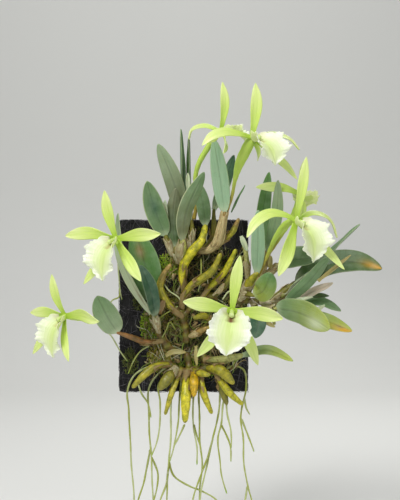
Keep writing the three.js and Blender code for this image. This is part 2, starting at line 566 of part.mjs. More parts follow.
// Slab: flat back, ragged sides, ridged fibrous front
function slabSolid() {
  const { width, thick, height, relief, ragged, columns, rows } = SLAB;
  const points = [];
  for (let r = 0; r <= rows; r += 1) {
    for (let c = 0; c <= columns; c += 1) {
      const x = (c / columns - 0.5) * width;
      const z = (r / rows - 0.5) * height;
      const wander = 0.5 + 0.5 * Math.sin(2.3 * c + 0.9 * r + 1.7 * Math.sin(1.3 * r));
      const inwardX = c === 0 ? 1 : c === columns ? -1 : 0;
      const inwardZ = r === 0 ? 1 : r === rows ? -1 : 0;
      points.push(new THREE.Vector3(
        x + inwardX * ragged * wander,
        -thick + relief * (inwardX || inwardZ ? 1 : wander),
        z + inwardZ * ragged * (1 - wander),
      ));
    }
  }
  const back = points.length;
  for (const [x, z] of [[-1, -1], [1, -1], [1, 1], [0, 1], [-1, 1]]) {
    points.push(new THREE.Vector3((x * width) / 2, 0, (z * height) / 2));
  }
  const at = (r, c) => r * (columns + 1) + c;
  const triangles = [];
  for (let r = 0; r < rows; r += 1) {
    for (let c = 0; c < columns; c += 1) {
      triangles.push(at(r, c), at(r, c + 1), at(r + 1, c + 1), at(r, c), at(r + 1, c + 1), at(r + 1, c));
    }
  }
  // A side wall from the ragged front edge to the back corners, which run the same way
  const wall = (edge, corners) => {
    const half = Math.floor(edge.length / 2);
    const [from, to] = [corners[0], corners[corners.length - 1]];
    for (let i = 0; i < half; i += 1) triangles.push(from, edge[i + 1], edge[i]);
    for (let i = 1; i < corners.length; i += 1) triangles.push(corners[i - 1], corners[i], edge[half]);
    for (let i = half; i < edge.length - 1; i += 1) triangles.push(to, edge[i + 1], edge[i]);
  };
  const span = (n) => Array.from({ length: n + 1 }, (_, i) => i);
  wall(span(columns).map((c) => at(0, c)), [back, back + 1]);
  wall(span(rows).map((r) => at(r, columns)), [back + 1, back + 2]);
  wall(span(columns).map((c) => at(rows, columns - c)), [back + 2, back + 3, back + 4]);
  wall(span(rows).map((r) => at(rows - r, 0)), [back + 4, back]);
  triangles.push(back, back + 3, back + 1, back + 1, back + 3, back + 2, back, back + 4, back + 3);
  return toSolid(meshGeometry(points, triangles));
}

// Hanger: a bent wire loop with its legs in the slab's top
function hangerSolid(grow) {
  const { wire, span, sunk, rise, behindFront, steps, sides } = HANGER;
  const top = SLAB.height / 2;
  const y = behindFront - SLAB.thick;
  const legs = [[-1, -sunk], [-1, 0], [-1, rise * 0.5], [0, rise], [1, rise * 0.5], [1, 0], [1, -sunk]];
  const points = legs.map(([side, up]) => new THREE.Vector3((side * span) / 2, y, top + up));
  return rod(points, () => wire / 2, sides, steps, grow);
}

// Flower frame: side, up and facing directions
function flowerFrame({ middle, turn, tilt, tepals }) {
  const centre = place(middle);
  const yaw = THREE.MathUtils.degToRad(turn);
  const pitch = THREE.MathUtils.degToRad(tilt);
  const level = Math.cos(pitch);
  const facing = new THREE.Vector3(Math.sin(yaw) * level, -Math.cos(yaw) * level, Math.sin(pitch));
  const up = place(tepals[0].tip).sub(centre);
  up.addScaledVector(facing, -up.dot(facing)).normalize();
  const side = up.clone().cross(facing);
  return { centre, side, up, facing };
}

function tepalSolid(frame, { tip, width, via, face }, grow) {
  const end = place(tip);
  const reach = end.clone().sub(frame.centre);
  const bow = frame.facing.clone().multiplyScalar(TEPAL.cup * reach.length() * 0.5);
  const way = via.map(place);
  if (way.length === 0) way.push(frame.centre.clone().addScaledVector(reach, 0.5).add(bow));
  const first = way[0].clone().sub(frame.centre).setLength(TEPAL.start).add(frame.centre);
  return blade({
    points: [first, ...way, end],
    width: width + 2 * grow,
    face: face ?? frame.facing.toArray(),
    outline: tepalOutline,
    channel: 0.2,
    halfThickness: () => TEPAL.thick / 2 + grow,
    rows: TEPAL.rows,
    columns: TEPAL.columns,
    spread: (t) => t,
  });
}

function columnSolid(frame, size, grow) {
  const tip = frame.centre.clone().addScaledVector(frame.facing, COLUMN.reach * size);
  tip.addScaledVector(frame.up, -1.5 * size);
  const points = [frame.centre.clone(), tip];
  return rod(points, (u) => size * (COLUMN.foot + (COLUMN.head - COLUMN.foot) * u), 6, 2, grow);
}

function hubSolid(frame, grow) {
  const points = [-1, -0.35, 0.35, 1].map((t) => {
    return frame.centre.clone().addScaledVector(frame.facing, t * TEPAL.hub);
  });
  return rod(points, (u) => TEPAL.hub * (0.55 + 0.45 * Math.sin(Math.PI * u)), 6, 3, grow);
}

// Lip: a trumpet round the column that opens into a broad frilled apron with a point
const LIP_ARC = [
  [0, 12], [0.1, 17], [0.25, 22.5], [0.45, 25], [0.62, 25], [0.76, 20.5], [0.85, 13], [0.92, 7], [1, 1.5],
];
const LIP_CURL = [[0, 2], [0.1, 1.45], [0.25, 1.1], [0.45, 0.85], [0.62, 0.6], [0.8, 0.3], [1, 0.1]];

function along(table, u) {
  for (let i = 1; i < table.length; i += 1) {
    const [u0, a] = table[i - 1];
    const [u1, b] = table[i];
    if (u <= u1) return a + (b - a) * smooth((u - u0) / (u1 - u0));
  }
  return table[table.length - 1][1];
}

function lipSolid(frame, { reach, drop, size }) {
  const { thick, rows, columns, start, throat, frill, frills } = LIP;
  const midline = (u) => [
    -throat - (drop - throat) * u ** 1.8,
    start + (reach - start) * (1 - (1 - u) ** 2.1),
  ];
  const grid = [];
  for (let i = 0; i <= rows; i += 1) {
    const u = (i / rows) ** 0.9;
    const [y, z] = midline(u);
    const [yBefore, zBefore] = midline(Math.max(u - 0.01, 0));
    const [yAfter, zAfter] = midline(Math.min(u + 0.01, 1));
    const length = Math.hypot(yAfter - yBefore, zAfter - zBefore);
    const normalY = (zAfter - zBefore) / length;
    const normalZ = -(yAfter - yBefore) / length;
    const arc = size * along(LIP_ARC, u);
    const curl = along(LIP_CURL, u);
    const radius = arc / curl;
    const row = [];
    for (let j = 0; j <= columns; j += 1) {
      const v = (2 * j) / columns - 1;
      const angle = v * curl;
      const wave = Math.sin(2 * Math.PI * frills * u + (v > 0 ? 0.9 : 0));
      const ruffle = frill * size * Math.abs(v) ** 3 * wave * smooth(Math.min(u / 0.3, 1));
      const lift = radius * (1 - Math.cos(angle)) + ruffle;
      const point = frame.centre.clone();
      point.addScaledVector(frame.side, radius * Math.sin(angle));
      point.addScaledVector(frame.up, y + normalY * lift);
      point.addScaledVector(frame.facing, z + normalZ * lift);
      row.push(point);
    }
    grid.push(row);
  }
  return sheet(grid, () => thick / 2);
}

// Slab and hanger
const slab = slabSolid().subtract(hangerSolid(GAP));
addPart('slab', toGeometry(slab), 'fibre');
addPart('hanger', toGeometry(hangerSolid(0)), 'wire');

// Bulbs by lead, pressed against the slab, each lead clear of the ones before it
const slabRoom = slabSolid().translate([0, -GAP, 0]);
let grownBulbs = leadSolids('upper', GAP);
addPart('bulbs_upper', toGeometry(oneBody(leadSolids('upper', 0).subtract(slabRoom))), 'bulb');
for (const lead of ['middle', 'left', 'right', 'lower']) {
  const solid = leadSolids(lead, 0).subtract(slabRoom).subtract(grownBulbs);
  grownBulbs = grownBulbs.add(leadSolids(lead, GAP));
  addPart(`bulbs_${lead}`, toGeometry(oneBody(solid)), 'bulb');
}

// Leaves, each seated on its bulb's neck
for (const { bulb, leaf } of GROWTHS.filter((growth) => growth.leaf)) {
  const neck = place(bulb[bulb.length - 1]);
  const below = place(bulb[bulb.length - 2]);
  const start = neck.clone().add(below.sub(neck).setLength(2));
  const columns = leaf.width > 24 ? 4 : 2;
  const solid = blade({
    points: [start, ...leaf.along.map(place)],
    width: leaf.width,
    face: leaf.face,
    outline: leafOutline(leaf.width),
    channel: leaf.channel,
    halfThickness: (u, v) => (LEAF.middle + (LEAF.edge - LEAF.middle) * Math.abs(v)) / 2,
    rows: LEAF.rows,
    columns,
    spread: (t) => 0.6 * t + 0.4 * (0.5 - 0.5 * Math.cos(Math.PI * t)),
  });
  addPart(leaf.name, toGeometry(oneBody(solid.subtract(grownBulbs))), 'leaf');
}

// Flowers: tepals, column and stalk one body, the lip another
for (const flower of FLOWERS) {
  const frame = flowerFrame(flower);
  const { size } = flower.lip;
  const stalkPoints = [frame.centre.clone(), ...flower.stalk.map(place)];
  const perianth = (grow) => [
    ...flower.tepals.map((tepal) => tepalSolid(frame, tepal, grow)),
    hubSolid(frame, grow),
    columnSolid(frame, size, grow),
    rod(stalkPoints, stalkRadius(flower.girth), 5, flower.stalk.length + 1, grow),
  ];
  addPart(flower.name, toGeometry(oneBody(joined(perianth(0)).subtract(grownBulbs))), 'tepal');
  const lip = lipSolid(frame, flower.lip).subtract(joined(perianth(LIP.room)));
  addPart(`${flower.name}_lip`, toGeometry(oneBody(lip)), 'lip');
}

// Roots
for (const { name, strands } of ROOTS) {
  const solids = strands.map((strand) => {
    const taper = (u) => (ROOT.width / 2) * (1 - 0.35 * u);
    return rod(strand.map(place), taper, ROOT.sides, Math.ceil(strand.length * 1.5));
  });
  addPart(name, toGeometry(oneBody(joined(solids).subtract(grownBulbs).subtract(slabRoom))), 'root');
}

export default group;
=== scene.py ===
import math

import bpy
import numpy as np
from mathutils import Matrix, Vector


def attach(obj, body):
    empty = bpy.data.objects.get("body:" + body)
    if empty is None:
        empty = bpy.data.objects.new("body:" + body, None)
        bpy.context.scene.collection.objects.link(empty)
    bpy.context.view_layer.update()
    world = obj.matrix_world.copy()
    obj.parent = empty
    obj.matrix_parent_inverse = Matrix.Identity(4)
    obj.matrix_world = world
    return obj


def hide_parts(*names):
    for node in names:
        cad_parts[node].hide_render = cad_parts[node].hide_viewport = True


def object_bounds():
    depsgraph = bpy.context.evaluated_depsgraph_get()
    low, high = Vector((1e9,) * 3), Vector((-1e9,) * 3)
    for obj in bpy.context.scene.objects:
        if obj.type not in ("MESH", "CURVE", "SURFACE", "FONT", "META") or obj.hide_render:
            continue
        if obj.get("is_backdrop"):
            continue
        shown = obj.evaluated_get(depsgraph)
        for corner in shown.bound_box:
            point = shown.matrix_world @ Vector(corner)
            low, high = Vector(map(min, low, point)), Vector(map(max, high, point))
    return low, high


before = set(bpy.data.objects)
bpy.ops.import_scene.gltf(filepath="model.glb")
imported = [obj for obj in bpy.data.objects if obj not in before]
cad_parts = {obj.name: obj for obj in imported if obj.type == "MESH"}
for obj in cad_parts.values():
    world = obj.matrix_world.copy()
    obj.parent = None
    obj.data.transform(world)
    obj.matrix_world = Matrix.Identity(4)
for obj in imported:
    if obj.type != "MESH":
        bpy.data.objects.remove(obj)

bl_info = {
    "name": "Orchid on tree-fern slab",
    "version": (1, 0, 0),
    "blender": (4, 5, 0),
    "location": "3D View > Sidebar > Orchid",
    "description": "Dresses the solids of a flowering orchid on a slab of tree-fern fibre",
    "category": "Object",
}


# Places are seen from straight in front and written (across, down, out): across and down
# in the picture's pixels, out in mm in front of the slab, as the part's source has them.
PIXEL = 1.18
MIDDLE_ACROSS = 200
MIDDLE_DOWN = 250
MIDDLE_X = 19.5
MIDDLE_Z = 66
EYE = 950
PICTURE_HEIGHT = 500
SENSOR = 36
METRE = 0.001

SLAB_WIDTH = 152
SLAB_HEIGHT = 203
SLAB_THICK = 30
SLAB_RELIEF = 3.4
SLAB_RAGGED = 2.2
SLAB_LAYERS = 9
# Loose fibres: their thickness along them, and how far they reach past the slab's edges
FIBRE_TAPER = (0.4, 1, 1, 1, 0.8, 0.3)
FIBRE_FRINGE = 0.4

# The hanging loop: the wire's thickness, the loop's span, how far behind the slab's front it
# stands, and its places (side, mm up from the slab's top)
WIRE_THICK = 2.2
LOOP_SPAN = 17
LOOP_BEHIND_FRONT = 13
LOOP = ((-1, -12), (-1, 0), (-1, 12), (0, 24), (1, 12), (1, 0), (1, -12))

# How finely the pieces are meshed: steps along them and points across or round them
SLAB_MESH = (100, 76)
STEM_MESH = (40, 14)
BULB_MESH = (56, 20)
SHEATH_MESH = (16, 20)
LEAF_MESH = (60, 21)
SLIP_MESH = (26, 9)
TEPAL_MESH = (44, 13)
LIP_MESH = (74, 49)
ROOT_SIDES = 10

# Creeping stems by lead: places and thickness in mm
STEMS = {
    "upper": [
        (((186, 302, 3), (184, 285, 3), (184, 266, 3), (190, 255, 4), (203, 250, 4)), 8),
        (((184, 268, 3), (178, 262, 4), (172, 262, 4)), 8),
    ],
    "middle": [
        (((181, 308, 3), (183, 318, 3), (186, 332, 3), (186, 344, 4)), 8.5),
        (((190, 337, 3), (200, 331, 3), (214, 322, 4), (226, 312, 4)), 8),
        (((183, 316, 3), (194, 304, 3), (206, 296, 4), (218, 296, 4)), 7.5),
    ],
    "left": [
        (((176, 352, 3), (166, 344, 3), (159, 333, 3), (154, 320, 4), (152, 306, 5)), 9),
    ],
    "right": [
        (((228, 303, 3), (240, 300, 4), (254, 301, 5), (268, 303, 7), (282, 304, 13)), 8),
        (((243, 300, 4), (250, 288, 5), (258, 280, 7)), 8),
    ],
    "lower": [
        (((166, 358, 4), (173, 367, 6), (184, 371, 7), (196, 370, 7), (210, 369, 7), (222, 374, 7)), 9),
        (((190, 369, 6), (188, 360, 4), (187, 352, 3)), 8),
        (((206, 368, 6), (204, 358, 6), (201, 350, 4)), 7),
    ],
}

# Bulbs by lead: places from foot to neck, thickness in mm, skin, age (0 smooth to 1
# wrinkled), and how much of it, from the foot, a papery sheath still wraps
BULBS = {
    "upper": [
        (((176, 262, 7), (171, 250, 14), (165, 234, 20)), 8, "olive", 0.5, 0.8),
        (((181, 263, 7), (182, 240, 12), (183, 217, 18)), 7, "olive", 0.4, 0.7),
        (((178, 263, 8), (176, 255, 13), (175, 246, 17)), 7, "olive", 0.5, 0.6),
        (((182, 263, 10), (181, 252, 20), (183, 239, 30)), 13, "pale", 0.2, 0.9),
        (((187, 262, 6), (188, 245, 7), (187, 226, 8)), 6, "olive", 0.5, 0.5),
        (((191, 256, 7), (192, 236, 9), (192, 218, 11)), 6, "olive", 0.4, 0.6),
        (((184, 290, 6), (182, 277, 12), (185, 262, 18), (193, 250, 22), (201, 241, 24), (206, 224, 24)),
         11.5, "bright", 0.6, 0),
        (((200, 251, 8), (209, 250, 17), (218, 241, 26), (222, 226, 34),
         (225, 211, 40)), 11, "tan", 0.5, 0.95),
        (((202, 250, 7), (212, 238, 10), (214, 208, 14)), 6.5, "olive", 0.5, 0),
        (((221, 243, 24), (227, 238, 25), (233, 231, 26), (239, 218, 28)), 7, "yellow_tan", 0.7, 0),
    ],
    "middle": [
        (((182, 308, 6), (183, 298, 11), (191, 286, 16), (201, 279, 20), (212, 271, 25), (221, 253, 28)),
         9.5, "yellow", 0.6, 0),
        (((201, 299, 6), (211, 286, 12), (224, 272, 17), (231, 260, 21),
         (236, 249, 24)), 8, "bright", 0.5, 0),
        (((183, 317, 8), (175, 311, 12), (165, 299, 14), (160, 287, 16), (164, 274, 19), (171, 264, 21)),
         9, "yellow_tan", 0.8, 0),
        (((214, 296, 7), (226, 284, 13), (237, 268, 18), (243, 256, 22)), 8, "olive", 0.6, 0.3),
        (((213, 323, 7), (204, 316, 18), (193, 318, 26)), 8, "yellow", 0.6, 0),
        (((224, 313, 7), (217, 330, 18), (211, 342, 26)), 8.5, "yellow", 0.5, 0.3),
        (((190, 336, 7), (197, 333, 16), (208, 327, 24)), 7, "tan", 0.8, 0.5),
    ],
    "left": [
        (((163, 341, 7), (147, 342, 12), (128, 336, 24), (116, 332, 30)), 7, "rust", 0.4, 0),
        (((159, 332, 7), (157, 325, 14), (155, 315, 19)), 8, "pale", 0.3, 0.95),
        (((156, 325, 6), (153, 320, 9), (151, 313, 11)), 6, "olive", 0.5, 0.5),
        (((153, 314, 6), (152, 306, 8), (151, 299, 10)), 6, "olive", 0.5, 0.5),
    ],
    "right": [
        (((252, 287, 8), (258, 270, 12), (262, 252, 15)), 6, "olive", 0.4, 0.5),
        (((242, 298, 9), (248, 285, 19), (258, 272, 28)), 10.5, "yellow", 0.4, 0.5),
        (((258, 281, 10), (264, 266, 15), (268, 251, 21)), 7.5, "tan", 0.5, 0.9),
        (((240, 300, 10), (246, 294, 22), (255, 296, 34)), 6.5, "olive", 0.5, 0.6),
        (((256, 283, 10), (268, 274, 14), (282, 262, 19)), 8, "olive", 0.4, 0.8),
        (((266, 302, 8), (281, 294, 9), (297, 281, 12)), 9, "olive", 0.4, 0.7),
        (((268, 303, 12), (277, 305, 26), (286, 304, 36)), 9, "pale", 0.3, 0.8),
        (((272, 301, 11), (280, 297, 20), (287, 294, 26)), 7, "pale", 0.4, 0.7),
        (((276, 298, 9), (292, 288, 5), (306, 276, 1)), 7, "olive", 0.4, 0.6),
        (((279, 303, 14), (288, 301, 24), (297, 300, 30)), 7, "pale", 0.4, 0.9),
        (((281, 304, 12), (292, 304, 17), (302, 302, 21)), 6.5, "olive", 0.4, 0.8),
        (((262, 302, 9), (268, 307, 24), (277, 308, 38)), 10, "pale", 0.3, 0.9),
        (((275, 304, 11), (284, 310, 20), (293, 313, 26)), 8, "olive", 0.4, 0.7),
        (((251, 301, 8), (255, 306, 16), (258, 310, 22)), 7, "olive", 0.5, 0.6),
        (((270, 303, 9), (271, 314, 14), (275, 325, 19)), 6, "pale", 0.8, 0.6),
        (((249, 290, 8), (247, 268, 18), (246, 254, 24), (241, 237, 28)), 6, "pale", 0.7, 0.5),
    ],
    "lower": [
        (((170, 364, 8), (156, 366, 15), (145, 374, 19), (132, 388, 24)), 9.5, "yellow", 0.5, 0),
        (((176, 368, 9), (169, 377, 19), (159, 390, 24)), 13, "olive", 0.4, 0.3),
        (((181, 371, 9), (172, 392, 20), (165, 415, 25)), 7, "yellow", 0.4, 0),
        (((187, 371, 9), (186, 393, 23), (185, 423, 28)), 12, "bright", 0.3, 0),
        (((194, 370, 9), (194, 382, 24), (194, 397, 30)), 10.5, "orange", 0.5, 0),
        (((200, 370, 9), (203, 391, 19), (212, 414, 25)), 8.5, "bright", 0.4, 0),
        (((192, 369, 9), (200, 373, 21), (210, 375, 32)), 8, "yellow", 0.6, 0),
        (((206, 368, 11), (221, 371, 22), (234, 384, 27)), 12.5, "yellow", 0.4, 0),
        (((214, 370, 11), (228, 391, 20), (243, 405, 24)), 9, "bright", 0.4, 0),
        (((218, 373, 10), (222, 388, 13), (227, 405, 16)), 10, "olive", 0.5, 0),
        (((204, 360, 10), (224, 359, 20), (244, 355, 27)), 9.5, "pale", 0.5, 0),
    ],
}

BULB_FOOT = 0.62
BULB_NECK = 0.58
BULB_PEAK = 0.55
BULB_NODES = (0.18, 0.4, 0.64, 0.86)
STEM_RINGS = 1.6
SHEATH_THICK = 0.28

# Ways that the upper side of a leaf faces
FRONT = (0, -1, 0)
FRONT_UP = (0, -1, 0.6)
FRONT_DOWN = (0, -1, -0.5)
FRONT_RIGHT = (0.7, -1, 0)
FRONT_LEFT = (-0.8, -0.7, 0)
LEFT = (-1, -0.22, 0)
RIGHT = (1, -0.22, 0)
UP = (0, -0.25, 1)

# Leaves: the lead and number of the bulb below, the leaf's own places, width in mm, the way it
# faces and how far its sides lift, then its greens from foot to tip, how pale its left and
# right margins are, and blotches (along, across, size, colour)
LEAVES = {
    "leaf_top_1": ("upper", 0, ((155, 210, 33), (147, 181, 48)), 23, FRONT, 0.35,
                   "grey", "grey", 0.9, 0.6, ((0.55, 0.05, 0.22, "deep"),)),
    "leaf_top_2": ("upper", 1, ((173, 180, 27), (158, 144, 36)), 21, FRONT_DOWN, -0.12,
                   "olive", "pale_grey", 0.3, 0.7, ()),
    "leaf_top_3": ("upper", 2, ((173, 215, 27), (176, 188, 34)), 17, FRONT, -0.2,
                   "dark", "olive", 0.2, 0.3, ()),
    "leaf_top_4": ("upper", 3, ((186, 212, 48), (204, 172, 62)), 21, FRONT_RIGHT, -0.15,
                   "olive", "grey", 1.0, 0.3, ()),
    "leaf_top_5": ("upper", 4, ((182, 180, 11), (181, 129, 20)), 17, RIGHT, 0.3,
                   "fresh", "fresh", 0.6, 0.6, ()),
    "leaf_top_6": ("upper", 5, ((190, 180, 15), (189, 137, 27)), 17, LEFT, 0.3,
                   "dark", "dark", 0.9, 0.4, ()),
    "leaf_top_7": ("upper", 6, ((203, 204, 30), (197, 181, 38)), 16, FRONT, 0.1,
                   "dark", "grey", 0.3, 0.5, ()),
    "leaf_top_8": ("upper", 7, ((220, 178, 50), (214, 139, 60)), 19, FRONT, 0.12,
                   "blue", "blue", 0.5, 0.5, ()),
    "leaf_top_9": ("upper", 8, ((224, 185, 20), (234, 155, 28)), 14, FRONT, 0.2,
                   "dark", "deep", 0.3, 0.3, ()),
    "leaf_left_1": ("left", 0, ((108, 318, 40), (97, 296, 52)), 28, FRONT, 0.12,
                    "pale_grey", "grey", 0.5, 0.5, ()),
    "leaf_left_2": ("left", 1, ((150, 290, 34), (140, 265, 46)), 18, FRONT_RIGHT, 0.3,
                    "deep", "deep", 0.3, 0.5, ()),
    "leaf_left_3": ("left", 2, ((133, 284, 22), (121, 255, 32), (118, 213, 40)), 17, FRONT_LEFT, 0.3,
                    "whitish", "pale_grey", 0.6, 0.6, ((0.2, 0.1, 0.1, "brown"),)),
    "leaf_left_4": ("left", 3, ((145, 265, 18), (135, 231, 26)), 35, FRONT, 0.1,
                    "fresh", "fresh", 0.3, 0.3, ((0.72, -0.1, 0.13, "brown"),)),
    "leaf_right_1": ("right", 0, ((263, 215, 20), (269, 172, 28)), 16, FRONT, 0.25,
                     "fresh", "fresh", 0.5, 0.5, ()),
    "leaf_right_2": ("right", 1, ((258, 245, 38), (258, 210, 48)), 16, FRONT, 0.1,
                     "blue", "blue", 0.5, 0.5, ()),
    "leaf_right_3": ("right", 2, ((277, 212, 40), (278, 180, 52)), 14, FRONT, -0.1,
                     "grey", "pale_grey", 0.5, 0.5, ()),
    "leaf_right_4": ("right", 3, ((263, 291, 44), (271, 273, 54)), 25, FRONT, -0.15,
                     "yellowing", "fresh", 0.3, 0.9, ()),
    "leaf_right_5": ("right", 4, ((302, 259, 34), (322, 257, 46)), 28, FRONT_UP, 0.45,
                     "dark", "dark", 0.3, 0.3, ()),
    "leaf_right_6": ("right", 5, ((326, 265, 20), (355, 262, 28), (382, 269, 36)), 31, FRONT_UP, 0.2,
                     "dark", "dark", 0.3, 0.3, ((0.98, 0, 0.2, "orange"),)),
    "leaf_right_7": ("right", 6, ((308, 282, 48), (330, 256, 58)), 15, FRONT_DOWN, -0.2,
                     "grey", "grey", 0.6, 0.4, ()),
    # leaf_right_8's whitish foot colour is a painted highlight along the leaf's edge.
    "leaf_right_8": ("right", 7, ((297, 282, 33), (309, 272, 40)), 12, UP, 0.2,
                     "whitish", "grey", 0.8, 0.8, ()),
    "leaf_right_9": ("right", 8, ((336, 247, 6), (360, 224, 15)), 15, UP, 0.2,
                     "grey", "grey", 0.5, 0.5, ()),
    "leaf_right_10": ("right", 9, ((315, 291, 38), (333, 283, 45)), 10, FRONT_UP, 0.2,
                      "pinkish", "pinkish", 0.5, 0.5, ()),
    "leaf_right_11": ("right", 10, ((322, 302, 28), (341, 311, 36)), 12, FRONT_UP, 0.2,
                      "fresh", "grey", 0.4, 0.4, ()),
    "leaf_right_12": ("right", 11, ((303, 314, 54), (330, 329, 68)), 32, FRONT_DOWN, -0.12,
                      "grey", "yellowing", 0.3, 0.9, ((0.75, 0.3, 0.2, "whitish"),)),
    "leaf_right_13": ("right", 12, ((322, 320, 38), (352, 331, 46)), 19, FRONT_UP, 0.2,
                      "fresh", "yellowing", 0.4, 0.4,
                      ((0.9, 0.5, 0.25, "orange"), (0.8, 0.1, 0.08, "brown"))),
    "leaf_right_14": ("right", 13, ((258, 323, 30), (255, 338, 36)), 19, FRONT, 0.15,
                      "deep", "deep", 0.3, 0.3, ()),
    "leaf_right_15": ("lower", 10, ((268, 350, 38), (293, 361, 46)), 12, FRONT_UP, 0.2,
                      "grey", "yellowing", 0.4, 0.4, ()),
}
LEAF_MIDDLE = 1.7
LEAF_EDGE = 0.9
LEAF_FOOT = 6

# Flowers: middle, turn and tilt in degrees; tepals (dorsal, left and right petal, left and
# right sepal: tip, width in mm, places on the way, and the way it faces if not with the
# flower); the lip's reach, drop and size; the stalk's thickest and thinnest radius and its
# places; and how deep the throat's colour is
FLOWERS = {
    "flower_left_low": {
        "middle": (65, 316, 75), "turn": -46, "tilt": -16,
        "tepals": (
            ((51, 275, 92), 10.5, ((56.5, 297, 84),), (-0.4, -1, 0)),
            ((30, 313, 52), 12.5, ((47, 312, 63),), None),
            ((98, 322, 112), 14.5, ((82, 315, 93),), None),
            ((32, 354, 54), 10, (), None),
            ((67.5, 361, 108), 10.5, ((65, 340, 92),), (-0.5, -1, 0)),
        ),
        "lip": (25, 39, 0.88), "girth": (3.4, 2.3), "throat": 0.3,
        "stalk": ((80, 318, 56), (95, 319, 36), (107, 324, 26), (119, 333, 25)),
    },
    "flower_left_high": {
        "middle": (116, 239, 80), "turn": -40, "tilt": -12,
        "tepals": (
            ((104, 191, 97), 13, ((108.5, 213, 89),), (-0.35, -1, 0)),
            ((65, 236, 60), 14.5, ((90, 233, 70),), None),
            ((160, 234, 112), 14.5, ((138, 235, 97),), None),
            ((83, 284, 66), 11, ((98, 266, 72),), None),
            ((140.5, 281, 104), 14, ((130, 263, 93),), (-0.35, -1, 0)),
        ),
        "lip": (27, 40, 0.94), "girth": (3.4, 2.3), "throat": 0.5,
        "stalk": ((124, 252, 62), (135, 268, 46), (147, 284, 28), (152, 300, 20), (155, 313, 16)),
    },
    "flower_top_left": {
        "middle": (221, 131, 52), "turn": 80, "tilt": 14,
        "tepals": (
            ((223, 82, 60), 11, ((224.5, 104, 57),), (0.45, -1, 0)),
            ((206, 141, 86), 11, (), None),
            ((188, 139, 30), 11.5, ((205, 126, 43), (193, 130, 36)), (-0.2, -0.7, 1)),
            ((225, 153, 84), 10, (), None),
            ((226, 150, 28), 10, (), None),
        ),
        "lip": (26, 32, 0.88), "girth": (3.4, 2.3), "throat": 0.3,
        "stalk": (
            (214, 138, 47), (207, 149, 42), (200, 161, 38), (196, 173, 32), (195, 190, 26), (196, 206, 20),
            (194, 219, 14)),
    },
    "flower_top_right": {
        "middle": (252, 138, 88), "turn": 42, "tilt": 4,
        "tepals": (
            ((256, 83, 98), 13.5, ((256, 105, 94),), (0.35, -1, 0)),
            ((202, 145, 118), 11.5, ((239, 134, 97), (225, 132, 106), (212, 136, 114)), (0.1, -1, 0.5)),
            ((300, 149, 56), 11, ((272, 134, 74), (288, 139, 62)), (0.5, -0.6, 1)),
            ((259, 161, 54), 9, (), None),
            ((298, 179, 78), 11, ((272, 154, 82), (286, 166, 79)), None),
        ),
        "lip": (29, 34, 0.98), "girth": (6, 1.9), "throat": 0.5,
        "stalk": ((246, 150, 80), (239, 165, 68), (235, 180, 55), (232, 196, 41), (227, 211, 35)),
    },
    "flower_right_high": {
        "middle": (301, 194, 48), "turn": 160, "tilt": 15,
        "tepals": (
            ((305, 160, 34), 11, (), None),
            ((316, 203, 20), 10, (), None),
            ((256, 187, 36), 11.5, ((284, 188, 42), (270, 187, 38)), (0, -1, 0.2)),
            ((302, 219, 34), 10, (), None),
            ((296, 219, 36), 10, (), None),
        ),
        "lip": (23, 20, 0.66), "girth": (3.4, 2.3), "throat": 0.3,
        "stalk": ((297, 206, 44), (291, 220, 34), (282, 234, 25), (274, 246, 17), (267, 256, 15)),
    },
    "flower_right_low": {
        "middle": (296, 221, 96), "turn": 42, "tilt": -8,
        "tepals": (
            ((307, 157, 106), 12, ((302, 186, 102),), (0.35, -1, 0)),
            ((247, 237, 122), 12, ((284, 215, 101), (270, 213.5, 109), (256, 222, 117)), (0.1, -1, 0.5)),
            ((338, 237, 62), 11, ((312, 213, 84), (328, 219, 71)), (0.5, -0.6, 1)),
            ((279, 276, 112), 15, ((288, 250, 105),), (0.3, -1, 0)),
            ((345, 269, 92), 11, ((322, 246, 90),), None),
        ),
        "lip": (30, 40, 1), "girth": (3.8, 2.3), "throat": 0.4,
        "stalk": ((286, 224, 76), (276, 237, 56), (269, 252, 37), (262, 267, 26), (258, 276, 22)),
    },
    "flower_front": {
        "middle": (232, 311, 72), "turn": -4, "tilt": -14,
        "tepals": (
            ((240, 256, 86), 13, ((235.5, 284, 80),), None),
            ((183, 302, 68), 16.5, ((208, 305, 72),), None),
            ((283, 319, 72), 16.5, ((262, 313.5, 74),), None),
            ((197, 357, 60), 13, ((213, 338, 64),), None),
            ((258, 365.5, 62), 13, ((249, 342, 66),), None),
        ),
        "lip": (27, 42, 1), "girth": (3.4, 2.3), "throat": 1,
        "stalk": ((229, 316, 55), (220, 322, 38), (212, 326, 26), (205, 329, 20)),
    },
}
TEPAL_THICK = 0.95
TEPAL_HUB = 3.8
TEPAL_START = 2.6
TEPAL_CUP = 0.1
LIP_THICK = 0.8
LIP_START = 3.8
LIP_THROAT = 4.35
LIP_FRILL = 2.2
LIP_FRILLS = 3.5
LIP_ARC = (
    (0, 12), (0.1, 17), (0.25, 22.5), (0.45, 25), (0.62, 25), (0.76, 20.5), (0.85, 13), (0.92, 7), (1, 1.5))
LIP_CURL = ((0, 2), (0.1, 1.45), (0.25, 1.1), (0.45, 0.85), (0.62, 0.6), (0.8, 0.3), (1, 0.1))
COLUMN_REACH = 13
COLUMN_FOOT = 2.3
COLUMN_HEAD = 2.9
# Which of a flower's tepals are petals
PETALS = (1, 2)

